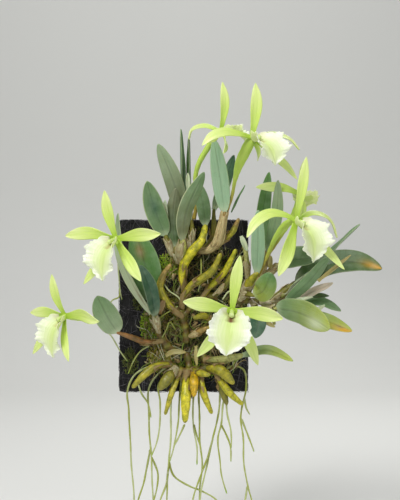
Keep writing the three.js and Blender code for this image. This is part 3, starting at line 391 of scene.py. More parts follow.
# Aerial roots by bunch: the strands' places
ROOTS = {
    "roots_1": [
        ((166, 364, 5), (150, 366, 1), (134, 376, 1), (127, 392, 4), (129, 410, 8), (130, 440, 8),
         (132, 470, 9), (134, 500, 9), (135, 528, 10)),
    ],
    "roots_2": [
        ((168, 366, 5), (158, 374, 1), (149, 389, 2), (149, 420, 7), (151, 455, 9), (153, 500, 9),
         (152, 541, 10)),
        ((138, 384, 1), (142, 394, 3), (148, 403, 5), (151, 418, 7)),
        ((150, 449, 9), (147, 468, 9), (144, 482, 9), (138, 500, 10), (136, 517, 10)),
        ((172, 367, 5), (163, 377, 1), (158, 387, 3), (160, 402, 7), (160, 424, 9), (156, 444, 9),
         (151, 457, 9)),
        ((151, 456, 9), (155, 464, 9), (158, 473, 10), (157, 486, 10), (153, 503, 9)),
    ],
    "roots_3": [
        ((176, 370, 5), (172, 384, 2), (171, 402, 6), (171, 427, 9), (169, 462, 9), (167, 486, 9),
         (167, 522, 10)),
        ((169, 466, 9), (166, 484, 10), (160, 502, 11), (159, 530, 12)),
        ((183, 371, 5), (181, 386, 2), (179, 402, 6), (178, 425, 9), (174, 446, 9), (169, 463, 9)),
        ((169, 461, 9), (174, 476, 10), (189, 486, 12), (202, 491, 13.4), (217, 501, 13), (222, 519, 13)),
        ((185, 424, 9), (180, 434, 9), (174, 446, 9)),
    ],
    "roots_4": [
        ((194, 371, 5), (194, 386, 2), (193, 402, 6), (194, 430, 9), (197, 450, 9), (197, 465, 10)),
        ((199, 371, 5), (199, 386, 2), (199, 402, 6), (200, 440, 9), (202, 465, 9), (200, 490, 10),
         (199, 535, 11)),
        ((194, 424, 9), (197, 436, 9), (200, 446, 9)),
    ],
    "roots_5": [
        ((214, 370, 5), (219, 382, 1), (220, 400, 5), (217, 420, 9), (211, 447, 9), (208, 460, 11),
         (204, 478, 15), (200, 500, 18), (197, 530, 19)),
        ((213, 438, 9), (209, 454, 13), (201, 474, 16), (193, 500, 15), (191, 515, 15)),
    ],
    "roots_6": [
        ((222, 373, 5), (226, 386, 1), (223, 406, 5), (221, 424, 8), (218, 437, 9), (220, 460, 9),
         (221, 474, 9), (227, 494, 9)),
        ((225, 384, 1), (227, 412, 5), (231, 430, 8), (231, 449, 9)),
        ((221, 424, 8), (226, 434, 9), (230, 446, 9), (231, 462, 9)),
    ],
    "roots_7": [
        ((222, 372, 5), (233, 366, 1), (244, 370, 1), (246, 386, 2), (242, 408, 7), (241, 420, 8),
         (243, 438, 9), (244, 462, 9), (248, 488, 9), (252, 502, 9), (253, 524, 9)),
        ((241, 418, 8), (247, 432, 9), (254, 452, 9)),
        ((247, 486, 9), (245, 500, 10), (243, 512, 10)),
        ((244, 396, 4), (246, 408, 7), (250, 415, 8)),
    ],
}
ROOT_WIDTH = 2.5
CREEPING_WIDTH = 2

# Roots that creep over the slab and the bulbs: places
CREEPING_ROOTS = (
    ((158, 322, 12), (161, 317, 13), (170, 311, 14), (178, 306, 12)),
    ((164, 284, 12), (169, 291, 14), (178, 297, 13), (184, 306, 9)),
    ((201, 258, 14), (201.5, 262, 16), (200.5, 279, 18), (198, 292, 12)),
    ((118, 262, 14), (118, 268, 15), (119, 280, 13), (122, 300, 2)),
    ((106, 308, 8), (109, 305, 9), (113, 300, 9), (119, 297, 6), (119, 288, 3)),
    ((108, 333, 8), (111, 336, 9), (121, 352, 4), (128, 362, 1)),
    ((150, 345, 4), (140, 352, 3), (132, 364, 2), (128, 374, 1)),
    ((176, 330, 9), (170, 322, 11), (166, 330, 8), (158, 344, 6)),
    ((222, 300, 10), (228, 292, 12), (236, 290, 10), (244, 296, 9)),
)

# Small dry or young leaves and bracts that no solid holds: places, width in mm, the way it
# faces and its colour
SLIPS = (
    (((231, 212, 26), (236, 200, 30), (245, 185, 34)), 6, RIGHT, "fresh"),
    (((166, 222, 26), (165, 208, 32), (165, 200, 35)), 6, FRONT, "whitish"),
    (((312, 296, 30), (320, 296, 33), (329, 296, 36)), 6, FRONT_UP, "dark"),
    (((290, 301, 36), (298, 300, 38), (313, 297, 42)), 4.5, FRONT_UP, "whitish"),
    (((312, 312, 36), (319, 309, 38), (325, 305, 40)), 5, FRONT_UP, "whitish"),
    (((318, 281, 60), (334, 268, 66), (351, 255, 70)), 4.2, FRONT, "straw"),
    (((188, 190, 22), (188, 181, 25), (188, 173, 27)), 5, FRONT, "whitish"),
    (((262, 318, 24), (268, 323, 26), (275, 327, 27)), 5, FRONT, "straw"),
    (((270, 268, 20), (270, 262, 24), (271, 256, 26)), 6, FRONT, "straw"),
    (((166, 356, 14), (172, 352, 17), (186, 352, 18)), 6, FRONT, "straw"),
    (((196, 346, 12), (196, 356, 15), (197, 366, 16)), 4, FRONT, "straw"),
    (((164, 300, 17), (161, 308, 18), (159, 314, 17)), 7, FRONT, "brown"),
    (((241, 236, 30), (244, 243, 30), (247, 251, 27)), 6, FRONT, "whitish"),
)

SLIP_THICK = 0.7

# Moss cushions: middle, half width and half height in mm, number of shoots and colour
MOSSES = (
    ((170, 266, 4), 16, 14, 620, "moss_bright"),
    ((150, 326, 3), 12, 20, 560, "moss_bright"),
    ((160, 357, 2), 15, 15, 480, "moss_yellow"),
    ((130, 362, 1), 9, 16, 260, "moss_painted_shade"),
    ((196, 296, 3), 30, 30, 900, "moss_painted_shade"),
    ((214, 262, 3), 30, 20, 520, "moss_painted_shade"),
    ((206, 340, 3), 34, 18, 720, "moss_painted_shade"),
    ((240, 330, 2), 14, 26, 320, "moss_painted_shade"),
    ((184, 238, 2), 28, 16, 360, "moss_painted_shade"),
    ((190, 370, 3), 44, 11, 620, "moss_bright"),
    ((140, 296, 2), 10, 20, 240, "moss_painted_shade"),
    ((172, 312, 3), 20, 26, 620, "moss_yellow"),
)

# A moss shoot from foot to tip: its thickness, and its brightness, which is painted shade at the foot inside
# the cushion and lighter towards the tip, partly fresh growth and partly painted light
SHOOT_TAPER = (0.8, 1.15, 0.8, 0.12)
SHOOT_PAINTED_SHADING = (0.45, 0.8, 1.1, 1.3)

# Where old roots and scraps gather on the slab: middle, half width and half height in mm,
# and its share of them
LITTER_BEDS = (
    ((200, 300, 0), 58, 62, 0.5),
    ((192, 362, 0), 54, 15, 0.2),
    ((166, 330, 0), 26, 46, 0.2),
    ((240, 290, 0), 18, 40, 0.1),
)
# The litter's colours, and how much of it has each
LITTER_KINDS = {
    "litter_olive": 0.3, "litter_tan": 0.2, "litter_pale": 0.1, "litter_brown": 0.25, "litter_green": 0.15}

# The studio in metres: the middle of what is lit, and lamps with their place, what they
# light, their size and their watts
LIT_MIDDLE = (0.02, -0.05, 0.03)
LAMPS = {
    "Key": ((-0.7, -1.3, 1.3), LIT_MIDDLE, 0.6, 27),
    "Fill": ((1.2, -1.2, 0.3), LIT_MIDDLE, 1.2, 7),
    "Back": ((0.4, 1.0, 1.0), LIT_MIDDLE, 0.8, 8),
    "Wall": ((0, 0.9, 1.9), (0, 2.0, 0.1), 1.6, 7),
}
SWEEP_HALF_WIDTH = 5.0
SWEEP_NEAR = -4.0
SWEEP_FLAT = 1.2
SWEEP_BEND = 0.8
SWEEP_TOP = 4.0


def linear(code):
    """The linear colour of an sRGB hex code."""
    values = [int(code[i:i + 2], 16) / 255 for i in (1, 3, 5)]
    return tuple(v / 12.92 if v <= 0.04045 else ((v + 0.055) / 1.055) ** 2.4 for v in values)


def colour(code, name, use):
    """A colour setting with its default and what it is used for."""
    return bpy.props.FloatVectorProperty(
        name=name, description=f"Colour of {use}", default=linear(code), subtype="COLOR", size=3,
        min=0, max=1)


class OrchidSlabSettings(bpy.types.PropertyGroup):
    """Fibre slab, wire loop and moss."""
    fibres: bpy.props.IntProperty(
        name="Fibres", description="Loose fibres on the slab's faces", default=2900, min=0, max=5000)
    fibre_black: colour("#1B1A1C", "Fibre", "the packed fibre")
    fibre_grey: colour("#6E6C72", "Weathered fibre", "the palest loose fibres")
    wire: colour("#8F9296", "Wire", "the hanging loop")
    moss_bright: colour("#98B636", "Fresh moss", "the fresh moss")
    moss_yellow: colour("#A09A3C", "Yellow moss", "the dry moss")
    # The dark moss colour is painted shade: a darker moss green for the moss between the bulbs, where shade
    # falls.
    moss_painted_shade: colour("#5A6430", "Dark moss", "the moss between the bulbs")
    litter: bpy.props.IntProperty(
        name="Litter", description="Old roots between the bulbs", default=620, min=0, max=1500)
    litter_olive: colour("#77793A", "Olive litter", "the old roots")
    litter_tan: colour("#A48C58", "Tan litter", "the dried fibres and scraps")
    litter_pale: colour("#C4C4A0", "Pale litter", "the bleached roots")
    litter_brown: colour("#5A482A", "Brown litter", "the rotted fibres")
    litter_green: colour("#7F9636", "Green litter", "the live thin roots")


class OrchidBulbSettings(bpy.types.PropertyGroup):
    """Pseudobulbs and sheaths."""
    olive: colour("#7C7A2E", "Olive", "the older bulbs")
    yellow: colour("#A8A22E", "Yellow", "the ripe bulbs")
    bright: colour("#C2BD2C", "Bright yellow", "the sunlit bulbs")
    orange: colour("#C9A51E", "Orange", "the dying bulb")
    pale: colour("#A9AC6A", "Pale", "the young bulbs")
    tan: colour("#A58A50", "Tan", "the dried bulbs")
    rust: colour("#8A6238", "Rust", "the reddish stem at the left")
    scar: colour("#6A5226", "Scar", "the rings and node scars")
    sheath: colour("#ADA275", "Sheath", "the papery sheaths")
    sheath_pale: colour("#CFC9A6", "Bleached sheath", "the bleached sheaths")


class OrchidLeafSettings(bpy.types.PropertyGroup):
    """Leaves."""
    grey: colour("#6C8A5C", "Grey-green", "most leaves")
    pale_grey: colour("#8A9C78", "Pale grey-green", "the bloomy leaves")
    fresh: colour("#567F42", "Green", "the fresh leaves")
    blue: colour("#8FAE8C", "Light blue-green", "the lightest leaves")
    dark: colour("#44602F", "Dark green", "the shaded leaves")
    deep: colour("#365C44", "Blue-green", "the deep blue-green leaves")
    olive: colour("#787C5C", "Olive-grey", "the old leaves")
    yellowing: colour("#A4B048", "Yellowing", "the leaves that turn")
    whitish: colour("#C9D2B0", "Whitish", "pale undersides")
    pinkish: colour("#C9B8A4", "Pinkish", "the dying small leaf")
    straw: colour("#A89A5C", "Straw", "dried leaves")
    brown: colour("#8A6A3C", "Brown", "the blotches")
    orange: colour("#D89A20", "Orange", "the withering tips")
    margin: colour("#D9DDAE", "Margin", "the thin pale margin")


class OrchidFlowerSettings(bpy.types.PropertyGroup):
    """Flowers."""
    tepal: colour("#C8DE70", "Tepal", "sepals and petals")
    tepal_light: colour("#E8F2AC", "Tepal tip", "the tips and edges")
    tepal_foot: colour("#ACCA42", "Tepal foot", "the feet of sepals and petals")
    stalk_tan: colour("#A9923E", "Stalk", "the stalk's foot")
    lip: colour("#E2ECB8", "Lip", "the lip's apron")
    lip_rim: colour("#FAFBF0", "Lip edge", "the lip's frilled edge")
    lip_middle: colour("#CDDF88", "Lip middle", "the lip's midline")
    throat: colour("#6A2A1E", "Throat", "the depth of the throat")
    throat_tan: colour("#D2BE86", "Throat ring", "the throat's ring")
    ruffle: bpy.props.FloatProperty(
        name="Ruffle", description="Depth of the lips' fine ruffles, in mm", default=1.1, min=0, max=3)


class OrchidRootSettings(bpy.types.PropertyGroup):
    """Aerial roots."""
    velamen: colour("#9AA344", "Root", "the hanging roots")
    white: colour("#CDD6A8", "White root", "the dry, white stretches")
    olive: colour("#6E742E", "Old root", "the older roots")
    tip: colour("#8FAE3E", "Tip", "the growing tips")


def place(spot):
    """The point in mm of a place seen from in front."""
    across, down, out = spot
    scale = PIXEL * (EYE - out) / EYE
    return np.array((
        MIDDLE_X + (across - MIDDLE_ACROSS) * scale,
        -SLAB_THICK - out,
        MIDDLE_Z - (down - MIDDLE_DOWN) * scale,
    ))


def unit(vector):
    """The vector, or each row of an array of them, at length one."""
    return vector / np.maximum(np.linalg.norm(vector, axis=-1, keepdims=True), 1e-9)


def smooth(t):
    """An even ease from 0 to 1."""
    t = np.clip(t, 0, 1)
    return t * t * (3 - 2 * t)


def bell(t, width):
    """A soft bump of height one around 0."""
    return np.exp(-(t / width) ** 2)


def along(table, u):
    """A value given along the way, eased between its steps."""
    u = np.atleast_1d(u)
    value = np.full(u.shape, float(table[-1][1]))
    for (u0, a), (u1, b) in zip(reversed(table[:-1]), reversed(table[1:])):
        value = np.where(u <= u1, a + (b - a) * smooth((u - u0) / (u1 - u0)), value)
    return value


def pattern(lengthways, crossways):
    """Pattern places from the mm along and across a piece."""
    return np.stack(np.broadcast_arrays(lengthways, crossways), axis=-1)


class Route:
    """A smooth line through points in mm, measured by its own length from 0 to 1."""

    def __init__(self, points):
        points = np.array(points, dtype=float)
        first = 2 * points[0] - points[1]
        last = 2 * points[-1] - points[-2]
        self.points = np.vstack([first, points, last])
        self.steps = np.linspace(0, 1, 201)
        line = self.raw(self.steps)
        lengths = np.linalg.norm(np.diff(line, axis=0), axis=1)
        self.length = lengths.sum()
        self.covered = np.concatenate([[0], np.cumsum(lengths)]) / self.length

    def raw(self, t):
        """Points of the centripetal curve through its places."""
        spans = len(self.points) - 3
        p = np.clip(t, 0, 1) * spans
        i = np.minimum(p.astype(int), spans - 1)
        w = (p - i)[:, None]
        p0, p1, p2, p3 = (self.points[i + k] for k in range(4))
        d0, d1, d2 = (np.maximum(np.sqrt(np.linalg.norm(b - a, axis=1)), 1e-4)[:, None]
                      for a, b in ((p0, p1), (p1, p2), (p2, p3)))
        t1 = ((p1 - p0) / d0 - (p2 - p0) / (d0 + d1) + (p2 - p1) / d1) * d1
        t2 = ((p2 - p1) / d1 - (p3 - p1) / (d1 + d2) + (p3 - p2) / d2) * d1
        return p1 + t1 * w + (-3 * p1 + 3 * p2 - 2 * t1 - t2) * w ** 2 + (2 * p1 - 2 * p2 + t1 + t2) * w ** 3

    def at(self, u):
        """Points at shares of the length."""
        return self.raw(np.interp(np.atleast_1d(u), self.covered, self.steps))

    def heading(self, u):
        """Directions at shares of the length."""
        u = np.atleast_1d(u)
        return unit(self.at(np.minimum(u + 0.004, 1)) - self.at(np.maximum(u - 0.004, 0)))


def route_of(places):
    """The smooth line through places seen from in front."""
    return Route([place(spot) for spot in places])


def turned_frames(directions):
    """Two directions across a line at each of its steps, turning as little as they can."""
    across = np.cross(directions[0], (0.31, 0.2, 0.93))
    sides = []
    for direction in directions:
        across = across - direction * across.dot(direction)
        across = across / np.linalg.norm(across)
        sides.append(across)
    sides = np.array(sides)
    return sides, np.cross(directions, sides)


class Form:
    """The growing mesh of one piece: points in mm, faces, colours and pattern places."""

    def __init__(self):
        self.points = []
        self.faces = []
        self.tints = []
        self.spans = []
        self.count = 0

    def take(self, points, faces, tints, spans):
        """Adds points with their colours and pattern places, and faces between them."""
        self.points.append(points)
        self.tints.append(np.broadcast_to(tints, points.shape))
        self.spans.append(spans)
        self.faces.extend((np.asarray(face) + self.count).tolist() for face in faces)
        self.count += len(points)

    def tube(self, middles, radii, sides, tints, start=0.0):
        """A closed round tube: radii and colours are given for each step, or each point of it."""
        steps = len(middles)
        directions = unit(np.gradient(middles, axis=0))
        first, second = turned_frames(directions)
        angles = np.arange(sides) * 2 * np.pi / sides
        radii = np.broadcast_to(np.asarray(radii, float).reshape(steps, -1), (steps, sides))
        rings = (middles[:, None] + radii[..., None] * (
            first[:, None] * np.cos(angles)[None, :, None] + second[:, None] * np.sin(angles)[None, :, None]))
        tints = np.asarray(tints, float)
        if tints.ndim == 1:
            tints = np.broadcast_to(tints, (steps, sides, 3))
        elif tints.ndim == 2:
            tints = np.broadcast_to(tints[:, None], (steps, sides, 3))
        way = np.concatenate([[0], np.cumsum(np.linalg.norm(np.diff(middles, axis=0), axis=1))]) + start
        spans = pattern(way[:, None], (angles * 3)[None, :])
        i, k = np.meshgrid(np.arange(steps - 1), np.arange(sides), indexing="ij")
        a = (i * sides + k).ravel()
        b = (i * sides + (k + 1) % sides).ravel()
        quads = np.stack([a, b, b + sides, a + sides], axis=1)
        caps = [np.arange(sides)[::-1], np.arange(sides) + (steps - 1) * sides]
        self.take(rings.reshape(-1, 3), [*quads, *caps], tints.reshape(-1, 3), spans.reshape(-1, 2))

    def sheet(self, grid, half, tints, spans, under=None):
        """A closed blade: rows of points across a curved sheet, thickened to both sides."""
        rows, columns = grid.shape[:2]
        lengthways = np.gradient(grid, axis=0)
        crossways = np.gradient(grid, axis=1)
        normals = unit(np.cross(crossways, lengthways))
        half = np.broadcast_to(half, (rows, columns))[..., None]
        tints = np.broadcast_to(tints, grid.shape)
        under = tints if under is None else np.broadcast_to(under, grid.shape)
        points = np.stack([grid + normals * half, grid - normals * half]).reshape(-1, 3)
        count = rows * columns
        i, j = np.meshgrid(np.arange(rows - 1), np.arange(columns - 1), indexing="ij")
        a = (i * columns + j).ravel()
        top = np.stack([a, a + 1, a + 1 + columns, a + columns], axis=1)
        rim = np.concatenate([
            np.arange(columns),
            np.arange(1, rows) * columns + columns - 1,
            (rows - 1) * columns + np.arange(columns - 2, -1, -1),
            np.arange(rows - 2, 0, -1) * columns,
        ])
        after = np.roll(rim, -1)
        edge = np.stack([after, rim, rim + count, after + count], axis=1)
        colours = np.concatenate([tints.reshape(-1, 3), under.reshape(-1, 3)])
        spans = np.broadcast_to(spans, (rows, columns, 2)).reshape(-1, 2)
        self.take(points, [*top, *(top[:, ::-1] + count), *edge], colours, np.concatenate([spans, spans]))

    def build(self, name, material, slot, *nodes):
        """The finished object, in metres, riding on the part and standing for its nodes."""
        points = np.concatenate(self.points) * METRE
        mesh = bpy.data.meshes.new(name)
        mesh.from_pydata(points.tolist(), [], self.faces)
        tints = mesh.attributes.new("tint", "FLOAT_COLOR", "POINT")
        colours = np.ones((len(points), 4), dtype=np.float32)
        colours[:, :3] = np.concatenate(self.tints)
        tints.data.foreach_set("color", colours.ravel())
        pattern = mesh.uv_layers.new(name="pattern")
        corners = np.empty(len(mesh.loops), dtype=np.int32)
        mesh.loops.foreach_get("vertex_index", corners)
        pattern.data.foreach_set("uv", np.concatenate(self.spans)[corners].astype(np.float32).ravel())
        mesh.polygons.foreach_set("use_smooth", np.ones(len(mesh.polygons), dtype=bool))
        mesh.materials.append(material)
        piece = bpy.data.objects.new(name, mesh)
        bpy.context.collection.objects.link(piece)
        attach(piece, "root")
        if nodes:
            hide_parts(*nodes)
        return piece


def add(tree, kind, settings=None, inputs=None):
    """A node with its settings, its values and its links."""
    node = tree.nodes.new(kind)
    for name, value in (settings or {}).items():
        setattr(node, name, value)
    for name, value in (inputs or {}).items():
        if isinstance(value, bpy.types.NodeSocket):
            tree.links.new(value, node.inputs[name])
        else:
            node.inputs[name].default_value = value
    return node


def surface(name, **values):
    """A new material with its tree, its shader and the colours that its mesh carries."""
    material = bpy.data.materials.new(name)
    material.use_nodes = True
    tree = material.node_tree
    shader = tree.nodes["Principled BSDF"]
    for socket, value in values.items():
        shader.inputs[socket.replace("_", " ")].default_value = value
    tint = add(tree, "ShaderNodeAttribute", {"attribute_name": "tint"})
    return material, tree, shader, tint.outputs["Color"]


def grain(tree, size, detail=3.0, stretch=None, roughness=0.55):
    """Noise whose features are about size mm, along the piece's own pattern if stretched."""
    if stretch:
        source = add(tree, "ShaderNodeUVMap", {"uv_map": "pattern"}).outputs["UV"]
        scale = (1 / stretch, 1, 1)
        factor = 1 / size
    else:
        source = add(tree, "ShaderNodeTexCoord").outputs["Object"]
        scale = (1, 1, 1)
        factor = 1000 / size
    mapping = add(tree, "ShaderNodeMapping", inputs={"Vector": source, "Scale": scale})
    noise = add(tree, "ShaderNodeTexNoise", inputs={
        "Vector": mapping.outputs["Vector"], "Scale": factor, "Detail": detail, "Roughness": roughness})
    return noise.outputs["Fac"]


def between(tree, value, low, high, new_low=0.0, new_high=1.0):
    """The value moved from one range to another."""
    node = add(tree, "ShaderNodeMapRange", {"clamp": True}, {
        "Value": value, "From Min": low, "From Max": high, "To Min": new_low, "To Max": new_high})
    return node.outputs["Result"]


def blend(tree, factor, first, second, way="MIX"):
    """Two colours mixed by a factor."""
    inputs = {0: factor, 6: first, 7: second}
    node = add(tree, "ShaderNodeMix", {"data_type": "RGBA", "blend_type": way}, inputs)
    return node.outputs[2]


def relief(tree, shader, height, depth, strength=1.0):
    """Low relief of a depth in mm."""
    bump = add(tree, "ShaderNodeBump", inputs={
        "Height": height, "Distance": depth * METRE, "Strength": strength})
    tree.links.new(bump.outputs["Normal"], shader.inputs["Normal"])


def mottle(tree, skin, patches, dark, light):
    """The skin made darker and lighter by patches."""
    return blend(tree, 1.0, skin, blend(tree, patches, (*dark, 1), (*light, 1)), "MULTIPLY")


def stain(tree, skin, code, size, detail, low, high, most=1.0):
    """The skin with patches of another colour, about size mm across."""
    patches = between(tree, grain(tree, size, detail), low, high, 0.0, most)
    return blend(tree, patches, skin, (*linear(code), 1))


def fern_fibre_material():
    """Tree-fern fibre, sawn: black wiry roots, dull, with grey weathered ends."""
    material, tree, shader, tint = surface("Sawn tree-fern fibre", Roughness=0.85)
    patches = between(tree, grain(tree, 3.0), 0.35, 0.7)
    fibre = mottle(tree, tint, patches, (0.55, 0.55, 0.56), (1.5, 1.45, 1.4))
    tree.links.new(fibre, shader.inputs["Base Color"])
    relief(tree, shader, grain(tree, 1.1, 4.0), 1.2)
    return material


def wire_material():
    """Galvanised steel wire, drawn: dull grey zinc with cloudy bright and dark patches."""
    material, tree, shader, tint = surface("Galvanised steel wire", Metallic=0.9, Roughness=0.42)
    cloud = grain(tree, 4.0)
    tree.links.new(
        blend(tree, between(tree, cloud, 0.3, 0.7), tint, (0.45, 0.46, 0.48, 1)), shader.inputs["Base Color"])
    tree.links.new(between(tree, cloud, 0.3, 0.7, 0.34, 0.55), shader.inputs["Roughness"])
    return material


def bulb_material():
    """Orchid pseudobulb, waxy skin: satin, with brown specks and fine lengthwise wrinkles."""
    material, tree, shader, tint = surface(
        "Waxy pseudobulb skin", Roughness=0.42, Subsurface_Weight=0.08, Subsurface_Scale=0.003,
        Subsurface_Radius=(0.6, 0.5, 0.15))
    clouds = between(tree, grain(tree, 7.0), 0.32, 0.68)
    skin = mottle(tree, tint, clouds, (0.5, 0.56, 0.45), (1.3, 1.22, 1.05))
    skin = stain(tree, skin, "#6E6426", 4.0, 5.0, 0.54, 0.68, 0.6)
    skin = stain(tree, skin, "#5A4420", 1.3, 2.0, 0.6, 0.7)
    tree.links.new(skin, shader.inputs["Base Color"])
    relief(tree, shader, grain(tree, 1.0, 3.0, stretch=9), 0.5, 0.6)
    return material


def sheath_material():
    """Dried sheath, papery: pale, thin and fibrous, with brown veins and stains."""
    material, tree, shader, tint = surface(
        "Papery dried sheath", Roughness=0.7, Subsurface_Weight=0.1, Subsurface_Scale=0.002)
    veins = between(tree, grain(tree, 0.8, 3.0, stretch=16), 0.38, 0.68)
    paper = blend(tree, veins, tint, (*linear("#8F7748"), 1))
    paper = stain(tree, paper, "#7A5A30", 6.0, 3.0, 0.56, 0.72, 0.7)
    tree.links.new(paper, shader.inputs["Base Color"])
    relief(tree, shader, veins, 0.3, 0.7)
    return material


def leaf_material():
    """Orchid leaf, leathery cuticle with a grey wax bloom: satin, faintly striped lengthwise."""
    material, tree, shader, tint = surface(
        "Bloomy leathery leaf", Roughness=0.48, Subsurface_Weight=0.05, Subsurface_Scale=0.002)
    stripes = between(tree, grain(tree, 0.9, 3.0, stretch=30), 0.3, 0.7)
    green = mottle(tree, tint, stripes, (0.84, 0.88, 0.84), (1.12, 1.1, 1.1))
    green = stain(tree, green, "#A9BAA0", 9.0, 4.0, 0.42, 0.75, 0.22)
    green = stain(tree, green, "#5C5A34", 2.2, 4.0, 0.66, 0.76, 0.7)
    tree.links.new(green, shader.inputs["Base Color"])
    tree.links.new(between(tree, grain(tree, 9.0, 4.0), 0.4, 0.75, 0.4, 0.62), shader.inputs["Roughness"])
    relief(tree, shader, stripes, 0.12, 0.5)
    return material


def tepal_material():
    """Sepal and petal, fleshy: satin lime skin that lets light through, finely veined."""
    material, tree, shader, tint = surface(
        "Fleshy lime tepal", Roughness=0.45, Subsurface_Weight=0.22, Subsurface_Scale=0.003,
        Subsurface_Radius=(0.9, 1.0, 0.3))
    veins = between(tree, grain(tree, 0.9, 2.0, stretch=26), 0.32, 0.66)
    flesh = mottle(tree, tint, veins, (0.9, 0.95, 0.8), (1.06, 1.04, 1.1))
    tree.links.new(flesh, shader.inputs["Base Color"])
    relief(tree, shader, veins, 0.15, 0.6)
    return material


def lip_material():
    """Lip, thin crystalline flesh: white, glistening, with green veins that fan out."""
    material, tree, shader, tint = surface(
        "Crystalline lip flesh", Roughness=0.5, Subsurface_Weight=0.15, Subsurface_Scale=0.003,
        Subsurface_Radius=(1.0, 1.0, 0.8))
    veins = between(tree, grain(tree, 1.1, 2.0, stretch=24), 0.36, 0.64)
    flesh = mottle(tree, tint, veins, (0.93, 0.97, 0.84), (1.02, 1.02, 1.02))
    tree.links.new(flesh, shader.inputs["Base Color"])
    relief(tree, shader, veins, 0.25, 0.6)
    return material


def root_material():
    """Aerial root, velvety velamen: matte grey-green with white dry patches."""
    material, tree, shader, tint = surface("Velvety root velamen", Roughness=0.75)
    skin = stain(tree, tint, "#C9CDB2", 5.0, 4.0, 0.54, 0.68, 0.4)
    skin = stain(tree, skin, "#54502C", 2.0, 3.0, 0.6, 0.74, 0.6)
    tree.links.new(skin, shader.inputs["Base Color"])
    relief(tree, shader, grain(tree, 0.7, 3.0), 0.15, 0.6)
    return material


def moss_material():
    """Moss, living: tiny matte leaves; the shoots are painted darker at their feet for the shade in the
    cushion and lighter at their tips, partly fresh growth and partly painted light.
    """
    material, tree, shader, tint = surface(
        "Living moss", Roughness=0.7, Subsurface_Weight=0.1, Subsurface_Scale=0.001)
    clumps = between(tree, grain(tree, 6.0), 0.3, 0.7)
    green = mottle(tree, tint, clumps, (0.6, 0.62, 0.5), (1.35, 1.3, 1.1))
    tree.links.new(green, shader.inputs["Base Color"])
    return material


def floor_material():
    """Matt painted board: an even pale grey."""
    material = bpy.data.materials.new("Matt painted board")
    material.use_nodes = True
    shader = material.node_tree.nodes["Principled BSDF"]
    shader.inputs["Base Color"].default_value = (*linear("#DEDEDA"), 1)
    shader.inputs["Roughness"].default_value = 0.9
    return material


def hue(group, name):
    """A colour of a settings group as an array."""
    return np.array(getattr(group, name))


def mix(first, second, share):
    """The first value turned into the second by a share."""
    return first * (1 - share) + second * share


def slab_front(rng):
    """Points of the slab's front face, a grid that is rough and sinks a little at its rim."""
    rows, columns = SLAB_MESH
    x = (np.linspace(0, 1, columns + 1) - 0.5) * SLAB_WIDTH
    z = (np.linspace(0, 1, rows + 1) - 0.5) * SLAB_HEIGHT
    across, up = np.meshgrid(x, z)
    waves = (np.sin(across * 0.31 + 1.7 * np.sin(up * 0.09)) + np.sin(across * 0.74 + up * 0.23)
             + np.sin(up * 0.41 + 2 * np.sin(across * 0.17)))
    wander = 0.5 + waves / 6
    rough = rng.random(across.shape)
    inside = smooth(np.minimum(SLAB_WIDTH / 2 - abs(across), SLAB_HEIGHT / 2 - abs(up)) / 4)
    depth = SLAB_RELIEF * (0.1 + 0.75 * wander * inside + 0.9 * (1 - inside)) - 0.9 * rough
    return np.stack([across, -SLAB_THICK + depth, up], axis=-1).reshape(-1, 3)


def slab_block(rng):
    """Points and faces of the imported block, with its rough front, ragged sides and flat back."""
    rows, columns = SLAB_MESH
    points = slab_front(rng)
    ring = np.concatenate([
        np.arange(columns), np.arange(rows) * (columns + 1) + columns,
        rows * (columns + 1) + np.arange(columns, 0, -1), np.arange(rows, 0, -1) * (columns + 1)])
    border = points[ring]
    outward = border[:, [0, 2]] / (SLAB_WIDTH, SLAB_HEIGHT)
    outward = np.where(abs(outward) > 0.499, np.sign(outward), 0)
    layers = []
    for share in np.linspace(0, 1, SLAB_LAYERS):
        layer = border.copy()
        ragged = SLAB_RAGGED * rng.random(len(ring)) * math.sin(math.pi * min(share + 0.15, 1))
        layer[:, [0, 2]] -= outward * ragged[:, None]
        layer[:, 1] = border[:, 1] * (1 - share)
        layers.append(layer)
    layers[-1][:, [0, 2]] = border[:, [0, 2]]
    points[ring] = layers[0]
    base = len(points)
    points = np.concatenate([points, *layers[1:], layers[-1]])
    i, j = np.meshgrid(np.arange(rows), np.arange(columns), indexing="ij")
    a = (i * (columns + 1) + j).ravel()
    faces = [*np.stack([a, a + 1, a + 2 + columns, a + 1 + columns], axis=1)]
    loops = [ring] + [base + np.arange(len(ring)) + k * len(ring) for k in range(SLAB_LAYERS - 1)]
    for first, second in zip(loops[:-1], loops[1:]):
        faces.extend(np.stack([np.roll(first, -1), first, second, np.roll(second, -1)], axis=1))
    faces.append((loops[-1] + len(ring))[::-1])
    return points, faces


